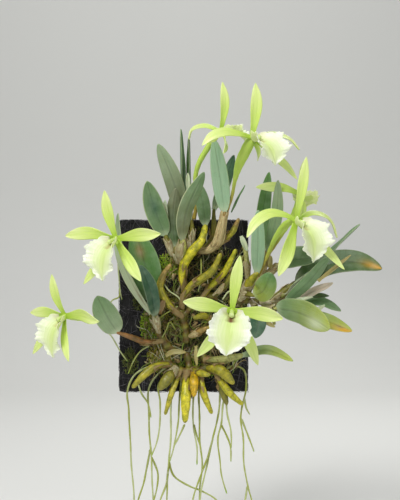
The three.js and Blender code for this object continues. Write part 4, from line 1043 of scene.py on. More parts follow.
def loose_fibre(rng):
    """The line of one loose fibre, on the front, the back or a side, and its radius."""
    face = rng.random()
    length = rng.uniform(10, 38)
    lean = rng.normal(0, 0.45) + (math.pi / 2 if rng.random() < 0.3 else 0)
    steps = np.linspace(-0.5, 0.5, len(FIBRE_TAPER))
    bend = rng.normal(0, 0.12)
    way = lean + bend * steps
    run = np.stack([np.sin(way) * steps, np.cos(way) * steps], axis=1) * length
    swell = rng.uniform(0.2, 2.6) * (0.25 - steps ** 2) * 4
    radius = rng.uniform(0.16, 0.42)
    if face < 0.7:
        middle = (rng.uniform(-0.5, 0.5) * SLAB_WIDTH, rng.uniform(-0.5, 0.5) * SLAB_HEIGHT)
        edge = np.array((SLAB_WIDTH / 2, SLAB_HEIGHT / 2)) + FIBRE_FRINGE
        x, z = np.clip(middle + run, -edge, edge).T
        level = np.full(len(steps), -radius - 0.02) if face < 0.18 else -SLAB_THICK + 1.6 - swell
        return np.stack([x, level, z], axis=1), radius
    sign = 1 if rng.random() < 0.5 else -1
    deep = np.clip(rng.uniform(-SLAB_THICK, 0) + run[:, 0] * 0.4, -SLAB_THICK, -0.6)
    spot = rng.uniform(-0.5, 0.5)
    if face < 0.87:
        top = SLAB_HEIGHT / 2 - 0.5
        up = np.clip(spot * SLAB_HEIGHT + run[:, 1], -top, top)
        return np.stack([sign * (SLAB_WIDTH / 2 - 1.2 + 0.6 * swell), deep, up], axis=1), radius
    right = SLAB_WIDTH / 2 - 1
    across = np.clip(spot * SLAB_WIDTH + run[:, 1], -right, right)
    return np.stack([across, deep, sign * (SLAB_HEIGHT / 2 - 1.2 + 0.6 * swell)], axis=1), radius


def dress_slab(choice):
    """The slab: packed fibre, with loose fibres on its faces."""
    rng = np.random.default_rng(4)
    black = hue(choice, "fibre_black")
    form = Form()
    points, faces = slab_block(rng)
    form.take(points, faces, black * 0.8, points[:, [0, 2]])
    for _ in range(choice.fibres):
        middles, radius = loose_fibre(rng)
        tint = mix(black, hue(choice, "fibre_grey"), rng.random() ** 2)
        form.tube(middles, radius * np.array(FIBRE_TAPER), 4, tint)
    form.build("Slab", fern_fibre_material(), "tree_fern", "slab")


def dress_hanger(choice):
    """The wire loop, bent smooth."""
    route = Route([
        (side * LOOP_SPAN / 2, LOOP_BEHIND_FRONT - SLAB_THICK, SLAB_HEIGHT / 2 + up) for side, up in LOOP])
    form = Form()
    form.tube(route.at(np.linspace(0, 1, 90)), np.full(90, WIRE_THICK / 2), 14, hue(choice, "wire"))
    form.build("Hanging_loop", wire_material(), "wire", "hanger")


def bulb_radius(u, thick):
    """Radius of a bulb along its length."""
    low = BULB_FOOT + (1 - BULB_FOOT) * smooth(u / BULB_PEAK)
    high = BULB_NECK + (1 - BULB_NECK) * (1 - smooth((u - BULB_PEAK) / (1 - BULB_PEAK)))
    return thick / 2 * np.where(u < BULB_PEAK, low, high)


def rounded(u, length, radius):
    """The share of its radius that a tube keeps near its rounded ends."""
    foot = np.clip(u * length / radius, 0, 1)
    head = np.clip((1 - u) * length / radius, 0, 1)
    return np.sqrt(1 - (1 - foot) ** 2) * np.sqrt(1 - (1 - head) ** 2)


def dress_stem(form, choice, places, thick):
    """A creeping stem, ringed all along."""
    steps, sides = STEM_MESH
    route = route_of(places)
    u = np.linspace(0, 1, steps)
    rings = np.sin(u * route.length / STEM_RINGS)
    radii = thick / 2 * (1 + 0.1 * rings) * np.maximum(rounded(u, route.length, thick / 2), 0.15)
    tint = mix(hue(choice, "scar"), hue(choice, "olive"), (0.5 + 0.5 * rings)[:, None])
    form.tube(route.at(u), radii, sides, tint)


def dress_bulb(form, choice, rng, route, thick, skin, age):
    """A bulb with pinched, scarred nodes and furrows. Gives back where its nodes are."""
    steps, sides = BULB_MESH
    u = np.linspace(0, 1, steps)
    angles = np.arange(sides) * 2 * np.pi / sides
    nodes = BULB_NODES + rng.normal(0, 0.025, len(BULB_NODES))
    pinch = sum(bell(u - node, 0.03) for node in nodes)
    radii = bulb_radius(u, thick) * (1 - 0.05 * pinch) * np.maximum(rounded(u, route.length, thick / 2), 0.12)
    phase = rng.uniform(0, 6)
    furrows = np.sin(7 * angles[None] + 2 * np.sin(3 * u[:, None] + phase)) * 0.05 * age
    furrows = furrows + np.sin(13 * angles[None] + phase) * 0.025 * age
    drying = skin == "yellow_tan"
    tone = hue(choice, "yellow" if drying else skin) * rng.uniform(0.88, 1.12)
    tints = tone * (1 - 0.25 * (1 - smooth(u / 0.3)))[:, None, None] * np.ones((1, sides, 1))
    if drying:
        tints = mix(tints, hue(choice, "tan"), smooth((u - 0.6) / 0.2)[:, None, None])
    scars = sum(
        bell(u[:, None] - node - 0.02 * np.sin(angles + node * 40), 0.011) * rng.uniform(0.1, 0.8)
        for node in nodes)
    scars = np.clip(scars, 0, 1) * (0.55 + 0.45 * np.sin(2 * angles + phase))
    # The colour is painted darker in the furrows and lighter on their ridges: painted shade and painted
    # highlight that follow the furrows' relief.
    tints = mix(tints, hue(choice, "scar"), scars[..., None]) * (1 + furrows * 4)[..., None]
    form.tube(route.at(u), radii[:, None] * (1 + furrows), sides, np.clip(tints, 0, 1))
    return nodes


def sheath_tone(choice, skin, wrapped, bleached):
    """Colour of a sheath: tan round dried bulbs, browner where only collars are left."""
    if skin == "tan":
        return hue(choice, "sheath_pale") * (1, 0.86, 0.66)
    if not wrapped:
        return hue(choice, "sheath") * (0.72, 0.62, 0.5)
    return mix(hue(choice, "sheath"), hue(choice, "sheath_pale"), bleached)


def dress_sheath(form, choice, rng, route, bulb, layer, reach):
    """A papery sheath round a bulb over its reach (start, end, arc), torn along its rim."""
    _, thick, skin, _, wrapped = bulb
    start, end, arc = reach
    rows, columns = SHEATH_MESH
    turn = rng.uniform(0, 6)
    arc = arc * rng.uniform(0.88, 1.12)
    across = np.linspace(0, 1, columns)
    torn = 0.06 * np.sin(across * 17 + turn) + 0.05 * rng.random(columns) - 0.22 * layer * across
    rise = np.linspace(0, 1, rows)[:, None]
    share = np.clip(start + (end + torn[None] - start) * rise, 0.0, 1.0)
    middles = route.at(share.ravel()).reshape(*share.shape, 3)
    first, second = turned_frames(route.heading(np.linspace(0, 1, 60)))
    pick = np.clip((share * 59).astype(int), 0, 59)
    turnings = turn + arc * across[None]
    flare = bulb_radius(share, thick) + 0.45 + 0.25 * layer + 0.9 * rise ** 6
    flare = flare + 0.25 * np.sin(turnings * 3 + rise * 4)
    grid = middles + flare[..., None] * (
        first[pick] * np.cos(turnings)[..., None] + second[pick] * np.sin(turnings)[..., None])
    tone = sheath_tone(choice, skin, wrapped, rng.uniform(0.2, 1))
    spans = pattern(rise * route.length, turnings * thick / 2)
    form.sheet(grid, SHEATH_THICK / 2, tone, spans)


def dress_bulbs(choice):
    """Creeping stems with their bulbs, and the papery sheaths round the bulbs."""
    rng = np.random.default_rng(11)
    waxy = bulb_material()
    paper = sheath_material()
    for lead, bulbs in BULBS.items():
        form = Form()
        sheaths = Form()
        for places, thick in STEMS[lead]:
            dress_stem(form, choice, places, thick)
        for bulb in bulbs:
            places, thick, skin, age, wrapped = bulb
            route = route_of(places)
            nodes = dress_bulb(form, choice, rng, route, thick, skin, age)
            if wrapped:
                reaches = ((0.0, wrapped, 5), (wrapped * 0.35, min(wrapped + 0.12, 1.03), 5))
            else:
                reaches = (
                    (0.0, rng.uniform(0.1, 0.22), 4), (nodes[1], nodes[1] + rng.uniform(0.04, 0.12), 2.4))
            for layer, reach in enumerate(reaches):
                dress_sheath(sheaths, choice, rng, route, bulb, layer, reach)
        form.build(f"Bulbs_{lead}", waxy, "pseudobulb", f"bulbs_{lead}")
        sheaths.build(f"Sheaths_{lead}", paper, "pseudobulb")


def blade_grid(points, width, face, outline, channel, mesh, groove=0.0):
    """Points of a leaf or tepal along its midline, with shares along and across it."""
    rows, columns = mesh
    route = Route(points)
    facing = unit(np.array(face, float))
    share = np.linspace(0, 1, rows)
    u = 0.35 * share + 0.65 * (0.5 - 0.5 * np.cos(np.pi * share))
    middle = route.at(u)
    tangent = route.heading(u)
    side = unit(np.cross(tangent, facing))
    normal = np.cross(side, tangent)
    half = width / 2 * outline(u)
    v = np.linspace(-1, 1, columns)
    lift = channel * half[:, None] * abs(v)[None] ** 1.4
    lift = lift - groove * bell(v, 0.1)[None] * smooth(u / 0.1)[:, None] * smooth((1 - u) / 0.1)[:, None]
    grid = (middle[:, None] + side[:, None] * (half[:, None] * v[None])[..., None]
            + normal[:, None] * lift[..., None])
    spans = pattern((u * route.length)[:, None], v[None] * half[:, None])
    return grid, u[:, None], v[None], spans, normal


def leaf_outline(width):
    """Half width of a leaf along its length, as a share of its greatest."""
    def outline(u):
        body = np.maximum(1 - abs(2 * u ** 0.86 - 1) ** 2.3, 0) ** 0.62
        foot = LEAF_FOOT / width * (1 - smooth(u / 0.3))
        return np.maximum(np.maximum(body, foot), 0.13 * (u < 0.9))
    return outline


def leaf_tints(choice, u, v, greens, margins, blotches):
    """Colours of a leaf: greens from foot to tip, painted shade along the grooved midrib, pale foot, blotches
    and margins.
    """
    foot, tip = greens
    green = mix(hue(choice, foot), hue(choice, tip), smooth(u)[..., None])
    # Painted shade: the green is darkened along the midline, where the midrib's groove lies.
    green = green * (1 - (bell(v, 0.07) * 0.35)[..., None])
    green = mix(green, hue(choice, "whitish"), (1 - smooth(u / 0.16))[..., None] * 0.55)
    for along_leaf, across_leaf, size, stained in blotches:
        reach = np.hypot(u - along_leaf, (v - across_leaf) * 0.32)
        green = mix(green, hue(choice, stained), (bell(reach, size * 0.8) * 0.9)[..., None])
    left, right = margins
    rim = smooth((abs(v) - 0.9) / 0.08) * np.where(v < 0, left, right)
    rim = np.maximum(rim, smooth((u - 0.985) / 0.015) * 0.4)[..., None] * 0.6
    return mix(green, hue(choice, "margin"), rim)


def dress_leaf(choice, material, name, index):
    """One leaf: leathery blade with a grooved midrib, pale margin and blotches."""
    lead, bulb, places, width, face, channel, foot, tip, left, right, blotches = LEAVES[name]
    below, neck = (place(spot) for spot in BULBS[lead][bulb][0][-2:])
    start = neck + unit(below - neck) * 2
    grid, u, v, spans, normal = blade_grid(
        [start, *(place(spot) for spot in places)], width, face, leaf_outline(width), channel, LEAF_MESH, 0.5)
    sway = 0.5 * np.sin(9 * u + 2.1 * index) * abs(v) ** 2 + 0.3 * np.sin(17 * u + index) * v ** 3
    grid = grid + normal[:, None] * (sway * smooth(u / 0.2))[..., None]
    half = (LEAF_MIDDLE + (LEAF_EDGE - LEAF_MIDDLE) * abs(v)) / 2 * np.ones_like(u)
    half = half * np.where(abs(v) > 0.96, 0.45, 1) * np.where((u > 0.995) | (u < 0.005), 0.45, 1)
    green = leaf_tints(choice, u, v, (foot, tip), (left, right), blotches)
    form = Form()
    form.sheet(grid, half, green, spans, green * 0.93 + 0.03)
    form.build(name.replace("leaf", "Leaf"), material, "leaf", name)


def dress_leaves(choice):
    """All leaves, and the small dry and young ones beside them."""
    material = leaf_material()
    for index, name in enumerate(LEAVES):
        dress_leaf(choice, material, name, index)
    form = Form()
    for index, (places, width, face, tone) in enumerate(SLIPS):
        grid, u, v, spans, normal = blade_grid(
            [place(spot) for spot in places], width, face, leaf_outline(width * 1.6), 0.5, SLIP_MESH)
        twist = 0.5 * np.sin(6 * u + index)
        grid = grid + normal[:, None] * (twist * v)[..., None]
        form.sheet(grid, SLIP_THICK / 2, hue(choice, tone), spans)
    form.build("Small_leaves", material, "leaf")


def tepal_outline(u):
    """Half width of a tepal along its length, as a share of its greatest."""
    peak = 0.58
    low = 0.44 + 0.56 * smooth(u / peak)
    high = np.maximum(np.cos(np.pi / 2 * np.clip((u - peak) / (1 - peak), 0, 1)), 0) ** 0.7
    return np.maximum(np.where(u < peak, low, high), 0.06)


def flower_frame(flower):
    """Middle, side, up and facing directions of a flower."""
    centre = place(flower["middle"])
    yaw = math.radians(flower["turn"])
    pitch = math.radians(flower["tilt"])
    facing = np.array((
        math.sin(yaw) * math.cos(pitch), -math.cos(yaw) * math.cos(pitch), math.sin(pitch)))
    up = place(flower["tepals"][0][0]) - centre
    up = unit(up - facing * up.dot(facing))
    return centre, np.cross(up, facing), up, facing


def dress_tepal(form, choice, flower, index):
    """One sepal or petal, its tip curled and its edges wavy."""
    centre, _, _, facing = flower_frame(flower)
    tip, width, via, face = flower["tepals"][index]
    end = place(tip)
    reach = end - centre
    way = [place(spot) for spot in via]
    way = way or [centre + reach * 0.5 + facing * TEPAL_CUP * np.linalg.norm(reach) / 2]
    grid, u, v, spans, normal = blade_grid(
        [centre + unit(way[0] - centre) * TEPAL_START, *way, end], width,
        facing if face is None else face, tepal_outline, 0.2, TEPAL_MESH, -0.35)
    curl = 0.7 * np.sin(5 * u + 1.7 * index) * abs(v) ** 2
    curl = curl - 1.6 * smooth((u - 0.75) / 0.25) * (1 - 0.4 * abs(v))
    grid = grid + normal[:, None] * curl[..., None]
    half = TEPAL_THICK / 2 * (1 - 0.45 * abs(v) ** 3) * (1 + 0.5 * (1 - smooth(u / 0.25)))
    tint = mix(hue(choice, "tepal_foot"), hue(choice, "tepal"), smooth(u / 0.3)[..., None])
    pale = (0.9 if index in PETALS else 0.7) * smooth((u - 0.3) / 0.6) * (0.55 + 0.45 * abs(v))
    form.sheet(grid, half, mix(tint, hue(choice, "tepal_light"), pale[..., None]), spans)


def dress_column(form, choice, flower):
    """The hub where the tepals meet, and the column with its pale cap."""
    centre, _, up, facing = flower_frame(flower)
    size = flower["lip"][2]
    steps = np.linspace(-1, 1, 18)
    swell = TEPAL_HUB * (0.55 + 0.45 * np.cos(steps * math.pi / 2))
    swell = swell * np.sqrt(np.clip(1.02 - steps ** 4, 0.02, 1))
    form.tube(centre + facing * (steps * TEPAL_HUB)[:, None], swell, 20, hue(choice, "tepal_foot"))
    tip = centre + facing * COLUMN_REACH * size - up * 1.5 * size
    share = np.linspace(0, 1, 24)
    radii = size * (COLUMN_FOOT + (COLUMN_HEAD - COLUMN_FOOT) * share)
    radii = radii * np.sqrt(np.clip(1.002 - np.clip((share - 0.86) / 0.14, 0, 1) ** 2, 0, 1))
    cap = smooth((share - 0.8) / 0.08)[:, None]
    tint = hue(choice, "lip_middle") * (1 - 0.3 * cap) + hue(choice, "lip") * 0.25 * cap
    form.tube(centre + (tip - centre) * share[:, None], np.maximum(radii, 0.1), 16, tint)


def dress_stalk(form, choice, flower):
    """The flower's stalk, swollen behind the flower and dry at its foot."""
    route = route_of((flower["middle"], *flower["stalk"]))
    share = np.linspace(0, 1, 60)
    thickest, thinnest = flower["girth"]
    swell = smooth((share + 0.06) / 0.16) * (1 - smooth((share - 0.2) / 0.5))
    radii = thinnest + (thickest - thinnest) * swell + 0.12 * np.sin(share * 60)
    green = (hue(choice, "tepal") + hue(choice, "tepal_foot")) / 2
    dry = smooth((share - 0.45) / 0.5)[:, None]
    form.tube(route.at(share), radii, 14, mix(green, hue(choice, "stalk_tan"), dry))


def dress_flower(choice, material, name):
    """One flower's sepals, petals, column and stalk."""
    flower = FLOWERS[name]
    form = Form()
    for index in range(len(flower["tepals"])):
        dress_tepal(form, choice, flower, index)
    dress_column(form, choice, flower)
    dress_stalk(form, choice, flower)
    form.build(name.replace("flower", "Flower"), material, "tepal", name)


def lip_waves(choice, flower, u, v):
    """How far a lip's edge swings out, as a share of its width, and how far it waves, in mm."""
    size = flower["lip"][2]
    grown = smooth(u / 0.3)
    wave = np.sin(2 * np.pi * LIP_FRILLS * u + np.where(v > 0, 0.9, 0))
    scallops = np.sin(2 * np.pi * 6.5 * u + flower["turn"] + np.where(v > 0, 2, 0))
    scallops = scallops + 0.5 * np.sin(2 * np.pi * 15 * u + flower["tilt"] + np.where(v > 0, 1, 0))
    fine = np.sin(2 * np.pi * 11 * u + 4 * v + flower["turn"]) + 0.6 * np.sin(2 * np.pi * 19 * u - 3 * v)
    lift = LIP_FRILL * size * abs(v) ** 3 * wave * grown
    lift = lift + choice.ruffle * size * abs(v) ** 4 * fine * grown * 0.6
    lift = lift + 0.25 * choice.ruffle * np.sin(7 * v + 2) * smooth((u - 0.6) / 0.3) * (1 - abs(v) ** 2)
    lift = lift - 0.7 * bell(v, 0.08) * smooth(u / 0.2) * (1 - smooth((u - 0.8) / 0.2))
    return 0.05 * scallops * v ** 2 * grown, lift


def lip_tints(choice, flower, u, v):
    """Colours of a lip's inner and outer side."""
    apron = hue(choice, "lip")
    throat = flower["throat"]
    rim = smooth((abs(v) - 0.35) / 0.6 + 0.8 * smooth((u - 0.8) / 0.2)) * (0.5 + 0.5 * throat)
    inner = mix(apron, hue(choice, "lip_rim"), rim[..., None])
    stripe = bell(v, 0.22 + 0.1 * (1 - u)) * 0.85 * (1 - 0.5 * smooth((u - 0.6) / 0.4))
    inner = mix(inner, hue(choice, "lip_middle"), stripe[..., None])
    inner = mix(inner, hue(choice, "throat_tan"), (0.35 * (1 - smooth((u - 0.05) / 0.12)))[..., None])
    core = (1 - smooth((u - 0.25) / 0.05)) * bell(v, 0.2) * (0.35 + 0.6 * throat)
    inner = mix(inner, mix(hue(choice, "throat_tan"), hue(choice, "throat"), throat), core[..., None])
    faces_away = abs(flower["turn"]) > 90
    lime = 0.9 - (0 if faces_away else 0.45) * smooth((u - 0.2) / 0.5)
    return inner, mix(apron, hue(choice, "tepal_light"), lime[..., None])


def dress_lip(choice, material, name):
    """One flower's lip: a trumpet round the column that opens into a frilled apron."""
    flower = FLOWERS[name]
    reach, drop, size = flower["lip"]
    centre, side, up, facing = flower_frame(flower)
    rows, columns = LIP_MESH

    def midline(u):
        return (-LIP_THROAT - (drop - LIP_THROAT) * u ** 1.8,
                LIP_START + (reach - LIP_START) * (1 - (1 - u) ** 2.1))

    u = np.linspace(0, 1, rows) ** 0.9
    y, z = midline(u)
    y_low, z_low = midline(np.maximum(u - 0.01, 0))
    y_high, z_high = midline(np.minimum(u + 0.01, 1))
    span = np.hypot(y_high - y_low, z_high - z_low)
    lean_y = ((z_high - z_low) / span)[:, None]
    lean_z = (-(y_high - y_low) / span)[:, None]
    arc = (size * along(LIP_ARC, u))[:, None]
    curl = along(LIP_CURL, u)[:, None]
    radius = arc / curl
    v = np.linspace(-1, 1, columns)[None]
    u = u[:, None]
    swing, waves = lip_waves(choice, flower, u, v)
    spread = v * curl * (1 + swing)
    lift = radius * (1 - np.cos(spread)) + waves
    grid = (centre + side * (radius * np.sin(spread))[..., None]
            + up * (y[:, None] + lean_y * lift)[..., None]
            + facing * (z[:, None] + lean_z * lift)[..., None])
    half = LIP_THICK / 2 * (1 - 0.5 * abs(v) ** 4) * (1 - 0.5 * smooth((u - 0.9) / 0.1))
    inner, outer = lip_tints(choice, flower, u, v)
    spans = pattern(u * 55, v * 14)
    form = Form()
    form.sheet(grid, half, outer, spans, inner)
    form.build(f"{name.replace('flower', 'Flower')}_lip", material, "lip", f"{name}_lip")


def dress_root(form, choice, rng, places, width, whiteness):
    """One root, a little wavy, older towards its foot and green at its growing tip."""
    route = route_of(places)
    u = np.linspace(0, 1, max(int(route.length / 1.6), 12))
    radii = width / 2 * (1 - 0.35 * u) * (1 + 0.1 * np.sin(u * route.length / 3.1 + rng.uniform(0, 6)))
    radii = radii * np.maximum(rounded(u, route.length, width), 0.15)
    middles = route.at(u)
    sway = rng.uniform(0, 6)
    middles[:, 0] += 0.35 * np.sin(u * route.length / 9 + sway) * smooth(u / 0.1) * smooth((1 - u) / 0.1)
    tint = mix(hue(choice, "velamen"), hue(choice, "olive"), 0.6 * (1 - smooth(u / 0.5))[:, None])
    pale = whiteness * (0.5 + 0.5 * np.sin(u * route.length / 23 + sway))
    tint = mix(tint, hue(choice, "white"), pale[:, None])
    tint = mix(tint, hue(choice, "tip"), smooth((u - 0.93) / 0.05)[:, None])
    form.tube(middles, radii, ROOT_SIDES, tint, start=rng.uniform(0, 90))


def dress_roots(choice):
    """Hanging roots by bunch, and the ones that creep over the slab."""
    rng = np.random.default_rng(23)
    material = root_material()
    for name, strands in ROOTS.items():
        form = Form()
        for places in strands:
            dress_root(form, choice, rng, places, ROOT_WIDTH, rng.uniform(0.15, 0.6))
        form.build(name.replace("roots", "Roots"), material, "aerial_root", name)
    form = Form()
    for places in CREEPING_ROOTS:
        dress_root(form, choice, rng, places, CREEPING_WIDTH, 0.7)
    form.build("Creeping_roots", material, "aerial_root")


def dress_moss(choice):
    """Moss cushions of short leafy shoots on the slab, between and below the bulbs."""
    rng = np.random.default_rng(31)
    form = Form()
    for middle, wide, high, shoots, tone in MOSSES:
        centre = place(middle)
        tint = hue(choice, tone)
        for _ in range(shoots):
            angle = rng.uniform(0, 2 * math.pi)
            reach = math.sqrt(rng.random())
            root = centre + np.array((math.cos(angle) * reach * wide, 0, math.sin(angle) * reach * high))
            root[1] = -SLAB_THICK + 1
            lean = np.array((rng.normal(0, 0.5), -1, rng.normal(0.2, 0.5)))
            height = rng.uniform(3, 6.5) * (1.15 - 0.6 * reach ** 2)
            steps = np.linspace(0, 1, len(SHOOT_TAPER))[:, None]
            middles = root + unit(lean) * height * steps + np.array((0, 0, 1.2)) * steps ** 2
            # Painted shade at the shoot's foot, inside the cushion, and painted light towards its tip, where
            # it is also fresher.
            shade = np.array(SHOOT_PAINTED_SHADING)[:, None] * rng.uniform(0.75, 1.2)
            radii = rng.uniform(0.45, 0.8) * np.array(SHOOT_TAPER)
            form.tube(middles, radii, 3, np.clip(tint * shade, 0, 1))
    form.build("Moss", moss_material(), "leaf")


def litter_spot(rng):
    """A place on the slab's face where litter gathers."""
    shares = [share for _, _, _, share in LITTER_BEDS]
    middle, wide, high, _ = LITTER_BEDS[rng.choice(len(LITTER_BEDS), p=shares)]
    angle = rng.uniform(0, 2 * math.pi)
    reach = math.sqrt(rng.random())
    return place(middle)[[0, 2]] + np.array((math.cos(angle) * wide, math.sin(angle) * high)) * reach


def dress_old_root(form, choice, rng, edge):
    """One old thin root that loops out from the slab and back."""
    length = rng.uniform(9, 42)
    lean = rng.normal(0, 0.75)
    share = np.linspace(0, 1, 9)
    swing = rng.uniform(0.05, 0.14) * length * np.sin(share * rng.uniform(3, 8) + rng.uniform(0, 6))
    run = np.stack([math.sin(lean) * (share - 0.5) * length + math.cos(lean) * swing,
                    -math.cos(lean) * (share - 0.5) * length + math.sin(lean) * swing], axis=1)
    x, z = np.clip(litter_spot(rng) + run, -edge, edge).T
    rise = rng.uniform(0.5, 6.5) * np.sin(math.pi * share) ** 0.8
    radii = rng.uniform(0.28, 0.72) * (1 - 0.4 * share)
    kind = rng.choice(list(LITTER_KINDS), p=list(LITTER_KINDS.values()))
    tone = hue(choice, kind) * rng.uniform(0.75, 1.2)
    middles = np.stack([x, -SLAB_THICK + 1.2 - rise, z], axis=1)
    form.tube(middles, radii, 5, np.clip(tone, 0, 1), start=rng.uniform(0, 90))


def dress_scrap(form, choice, rng, edge):
    """One papery scrap, curled and torn."""
    x, z = np.clip(litter_spot(rng), -edge + 3, edge - 3)
    length = rng.uniform(4, 11)
    wide = rng.uniform(1.5, 4)
    way = rng.uniform(0, 2 * math.pi)
    u = np.linspace(-0.5, 0.5, 7)[:, None]
    v = np.linspace(-1, 1, 5)[None]
    half = wide / 2 * (1 - 1.9 * abs(u) ** 1.7) * v
    torn = half + 0.3 * rng.normal(0, 1, half.shape) * abs(v)
    out = rng.uniform(1, 5) + 1.3 * np.cos(3 * u + x) - 0.9 * v ** 2 * (1 + 0.5 * np.sin(5 * u))
    grid = np.stack(np.broadcast_arrays(
        x + math.cos(way) * u * length - math.sin(way) * torn,
        -SLAB_THICK + 0.5 - out,
        z + math.sin(way) * u * length + math.cos(way) * torn), axis=-1)
    tone = mix(hue(choice, "litter_tan"), hue(choice, "litter_pale"), rng.random() ** 2)
    spans = pattern(u * length, torn)
    form.sheet(grid, 0.12, tone * rng.uniform(0.6, 1.1), spans)


def dress_litter(choice):
    """Old thin roots and papery scraps caught on the slab between the bulbs."""
    rng = np.random.default_rng(47)
    edge = np.array((SLAB_WIDTH / 2 - 1, SLAB_HEIGHT / 2 - 1))
    strands = Form()
    for _ in range(choice.litter):
        dress_old_root(strands, choice, rng, edge)
    strands.build("Litter_roots", root_material(), "aerial_root")
    scraps = Form()
    for _ in range(choice.litter // 3):
        dress_scrap(scraps, choice, rng, edge)
    scraps.build("Litter_scraps", sheath_material(), "pseudobulb")


def put(name, data, place_in_metres=(0, 0, 0), turn=(0, 0, 0)):
    """A new object of the stage."""
    item = bpy.data.objects.new(name, data)
    item.location = place_in_metres
    item.rotation_euler = turn
    bpy.context.collection.objects.link(item)
    return item


def set_sweep():
    """A pale floor that sweeps up behind."""
    low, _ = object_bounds()
    floor = low[2] - 0.05
    bend = [
        (SWEEP_FLAT + SWEEP_BEND * math.sin(a), SWEEP_BEND - SWEEP_BEND * math.cos(a))
        for a in np.linspace(0.1, math.pi / 2, 14)]
    profile = [(SWEEP_NEAR, 0.0), (SWEEP_FLAT, 0.0), *bend, (SWEEP_FLAT + SWEEP_BEND, SWEEP_TOP)]
    points = [(x, y, floor + z) for y, z in profile for x in (-SWEEP_HALF_WIDTH, SWEEP_HALF_WIDTH)]
    faces = [(2 * i, 2 * i + 1, 2 * i + 3, 2 * i + 2) for i in range(len(profile) - 1)]
    mesh = bpy.data.meshes.new("Sweep")
    mesh.from_pydata(points, [], faces)
    mesh.polygons.foreach_set("use_smooth", [True] * len(faces))
    mesh.materials.append(floor_material())
    put("Sweep", mesh)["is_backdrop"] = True


def set_stage():
    """The floor, soft studio lights and the camera."""
    scene = bpy.context.scene
    set_sweep()
    scene.view_settings.view_transform = "Standard"
    scene.world = scene.world or bpy.data.worlds.new("Studio")
    scene.world.use_nodes = True
    background = scene.world.node_tree.nodes["Background"]
    background.inputs["Color"].default_value = (*linear("#E4E6E8"), 1)
    background.inputs["Strength"].default_value = 0.42
    for name, (spot, target, size, power) in LAMPS.items():
        light = bpy.data.lights.new(name, "AREA")
        light.energy = power
        light.size = size
        x, y, z = np.array(target) - np.array(spot)
        put(name, light, spot, (math.atan2(math.hypot(x, y), -z), 0, math.atan2(y, x) - math.pi / 2))
    lens = bpy.data.cameras.new("Camera")
    lens.sensor_width = SENSOR
    lens.lens = SENSOR * EYE / (PIXEL * PICTURE_HEIGHT)
    spot = (MIDDLE_X * METRE, -(EYE + SLAB_THICK) * METRE, MIDDLE_Z * METRE)
    scene.camera = put("Camera", lens, spot, (math.pi / 2, 0, 0))


class ORCHID_OT_slab(bpy.types.Operator):
    """Make the fibre slab"""
    bl_idname = "orchid.slab"
    bl_label = "Slab"

    def execute(self, context):
        dress_slab(context.scene.orchid_slab)
        return {"FINISHED"}


class ORCHID_OT_hanger(bpy.types.Operator):
    """Make the wire loop"""
    bl_idname = "orchid.hanger"
    bl_label = "Hanging loop"

    def execute(self, context):
        dress_hanger(context.scene.orchid_slab)
        return {"FINISHED"}


class ORCHID_OT_bulbs(bpy.types.Operator):
    """Make the creeping stems, bulbs and sheaths"""
    bl_idname = "orchid.bulbs"
    bl_label = "Bulbs"

    def execute(self, context):
        dress_bulbs(context.scene.orchid_bulb)
        return {"FINISHED"}


class ORCHID_OT_leaves(bpy.types.Operator):
    """Make the leaves"""
    bl_idname = "orchid.leaves"
    bl_label = "Leaves"

    def execute(self, context):
        dress_leaves(context.scene.orchid_leaf)
        return {"FINISHED"}


class ORCHID_OT_flowers(bpy.types.Operator):
    """Make the sepals, petals, columns and stalks"""
    bl_idname = "orchid.flowers"
    bl_label = "Flowers"

    def execute(self, context):
        material = tepal_material()
        for name in FLOWERS:
            dress_flower(context.scene.orchid_flower, material, name)
        return {"FINISHED"}


class ORCHID_OT_lips(bpy.types.Operator):
    """Make the lips"""
    bl_idname = "orchid.lips"
    bl_label = "Lips"

    def execute(self, context):
        material = lip_material()
        for name in FLOWERS:
            dress_lip(context.scene.orchid_flower, material, name)
        return {"FINISHED"}


class ORCHID_OT_roots(bpy.types.Operator):
    """Make the aerial roots"""
    bl_idname = "orchid.roots"
    bl_label = "Roots"

    def execute(self, context):
        dress_roots(context.scene.orchid_root)
        return {"FINISHED"}


class ORCHID_OT_moss(bpy.types.Operator):
    """Make the moss"""
    bl_idname = "orchid.moss"
    bl_label = "Moss"

    def execute(self, context):
        dress_moss(context.scene.orchid_slab)
        return {"FINISHED"}


class ORCHID_OT_litter(bpy.types.Operator):
    """Make the old roots and scraps between the bulbs"""
    bl_idname = "orchid.litter"
    bl_label = "Litter"

    def execute(self, context):
        dress_litter(context.scene.orchid_slab)
        return {"FINISHED"}


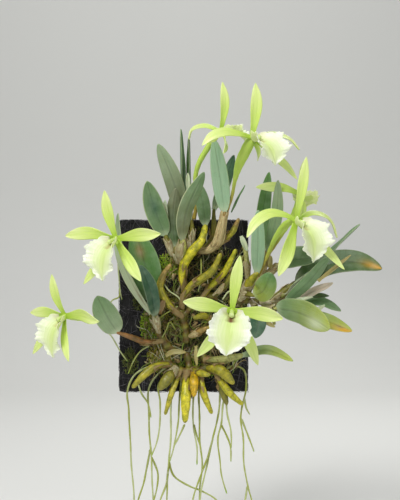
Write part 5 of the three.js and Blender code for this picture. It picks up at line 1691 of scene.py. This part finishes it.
class ORCHID_OT_stage(bpy.types.Operator):
    """Set the floor, the lights and the camera"""
    bl_idname = "orchid.stage"
    bl_label = "Stage"

    def execute(self, context):
        set_stage()
        return {"FINISHED"}


class ORCHID_PT_panel(bpy.types.Panel):
    """The pieces and their settings"""
    bl_idname = "ORCHID_PT_panel"
    bl_label = "Orchid"
    bl_space_type = "VIEW_3D"
    bl_region_type = "UI"
    bl_category = "Orchid"

    def draw(self, context):
        for operator in OPERATORS:
            self.layout.operator(operator.bl_idname)
        for name, group in GROUPS.items():
            box = self.layout.box()
            for setting in group.__annotations__:
                box.prop(getattr(context.scene, name), setting)


GROUPS = {
    "orchid_slab": OrchidSlabSettings,
    "orchid_bulb": OrchidBulbSettings,
    "orchid_leaf": OrchidLeafSettings,
    "orchid_flower": OrchidFlowerSettings,
    "orchid_root": OrchidRootSettings,
}
OPERATORS = (
    ORCHID_OT_slab,
    ORCHID_OT_hanger,
    ORCHID_OT_bulbs,
    ORCHID_OT_leaves,
    ORCHID_OT_flowers,
    ORCHID_OT_lips,
    ORCHID_OT_roots,
    ORCHID_OT_moss,
    ORCHID_OT_litter,
    ORCHID_OT_stage,
)


def register():
    """Adds the settings, operators and panel."""
    for name, group in GROUPS.items():
        bpy.utils.register_class(group)
        setattr(bpy.types.Scene, name, bpy.props.PointerProperty(type=group))
    for operator in OPERATORS:
        bpy.utils.register_class(operator)
    bpy.utils.register_class(ORCHID_PT_panel)


def unregister():
    """Takes them away again."""
    bpy.utils.unregister_class(ORCHID_PT_panel)
    for operator in reversed(OPERATORS):
        bpy.utils.unregister_class(operator)
    for name, group in reversed(GROUPS.items()):
        delattr(bpy.types.Scene, name)
        bpy.utils.unregister_class(group)


def main():
    """Makes every piece in order."""
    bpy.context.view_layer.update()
    register()
    bpy.ops.orchid.slab()
    bpy.ops.orchid.hanger()
    bpy.ops.orchid.bulbs()
    bpy.ops.orchid.leaves()
    bpy.ops.orchid.flowers()
    bpy.ops.orchid.lips()
    bpy.ops.orchid.roots()
    bpy.ops.orchid.moss()
    bpy.ops.orchid.litter()
    bpy.ops.orchid.stage()


if __name__ == "__main__":
    main()
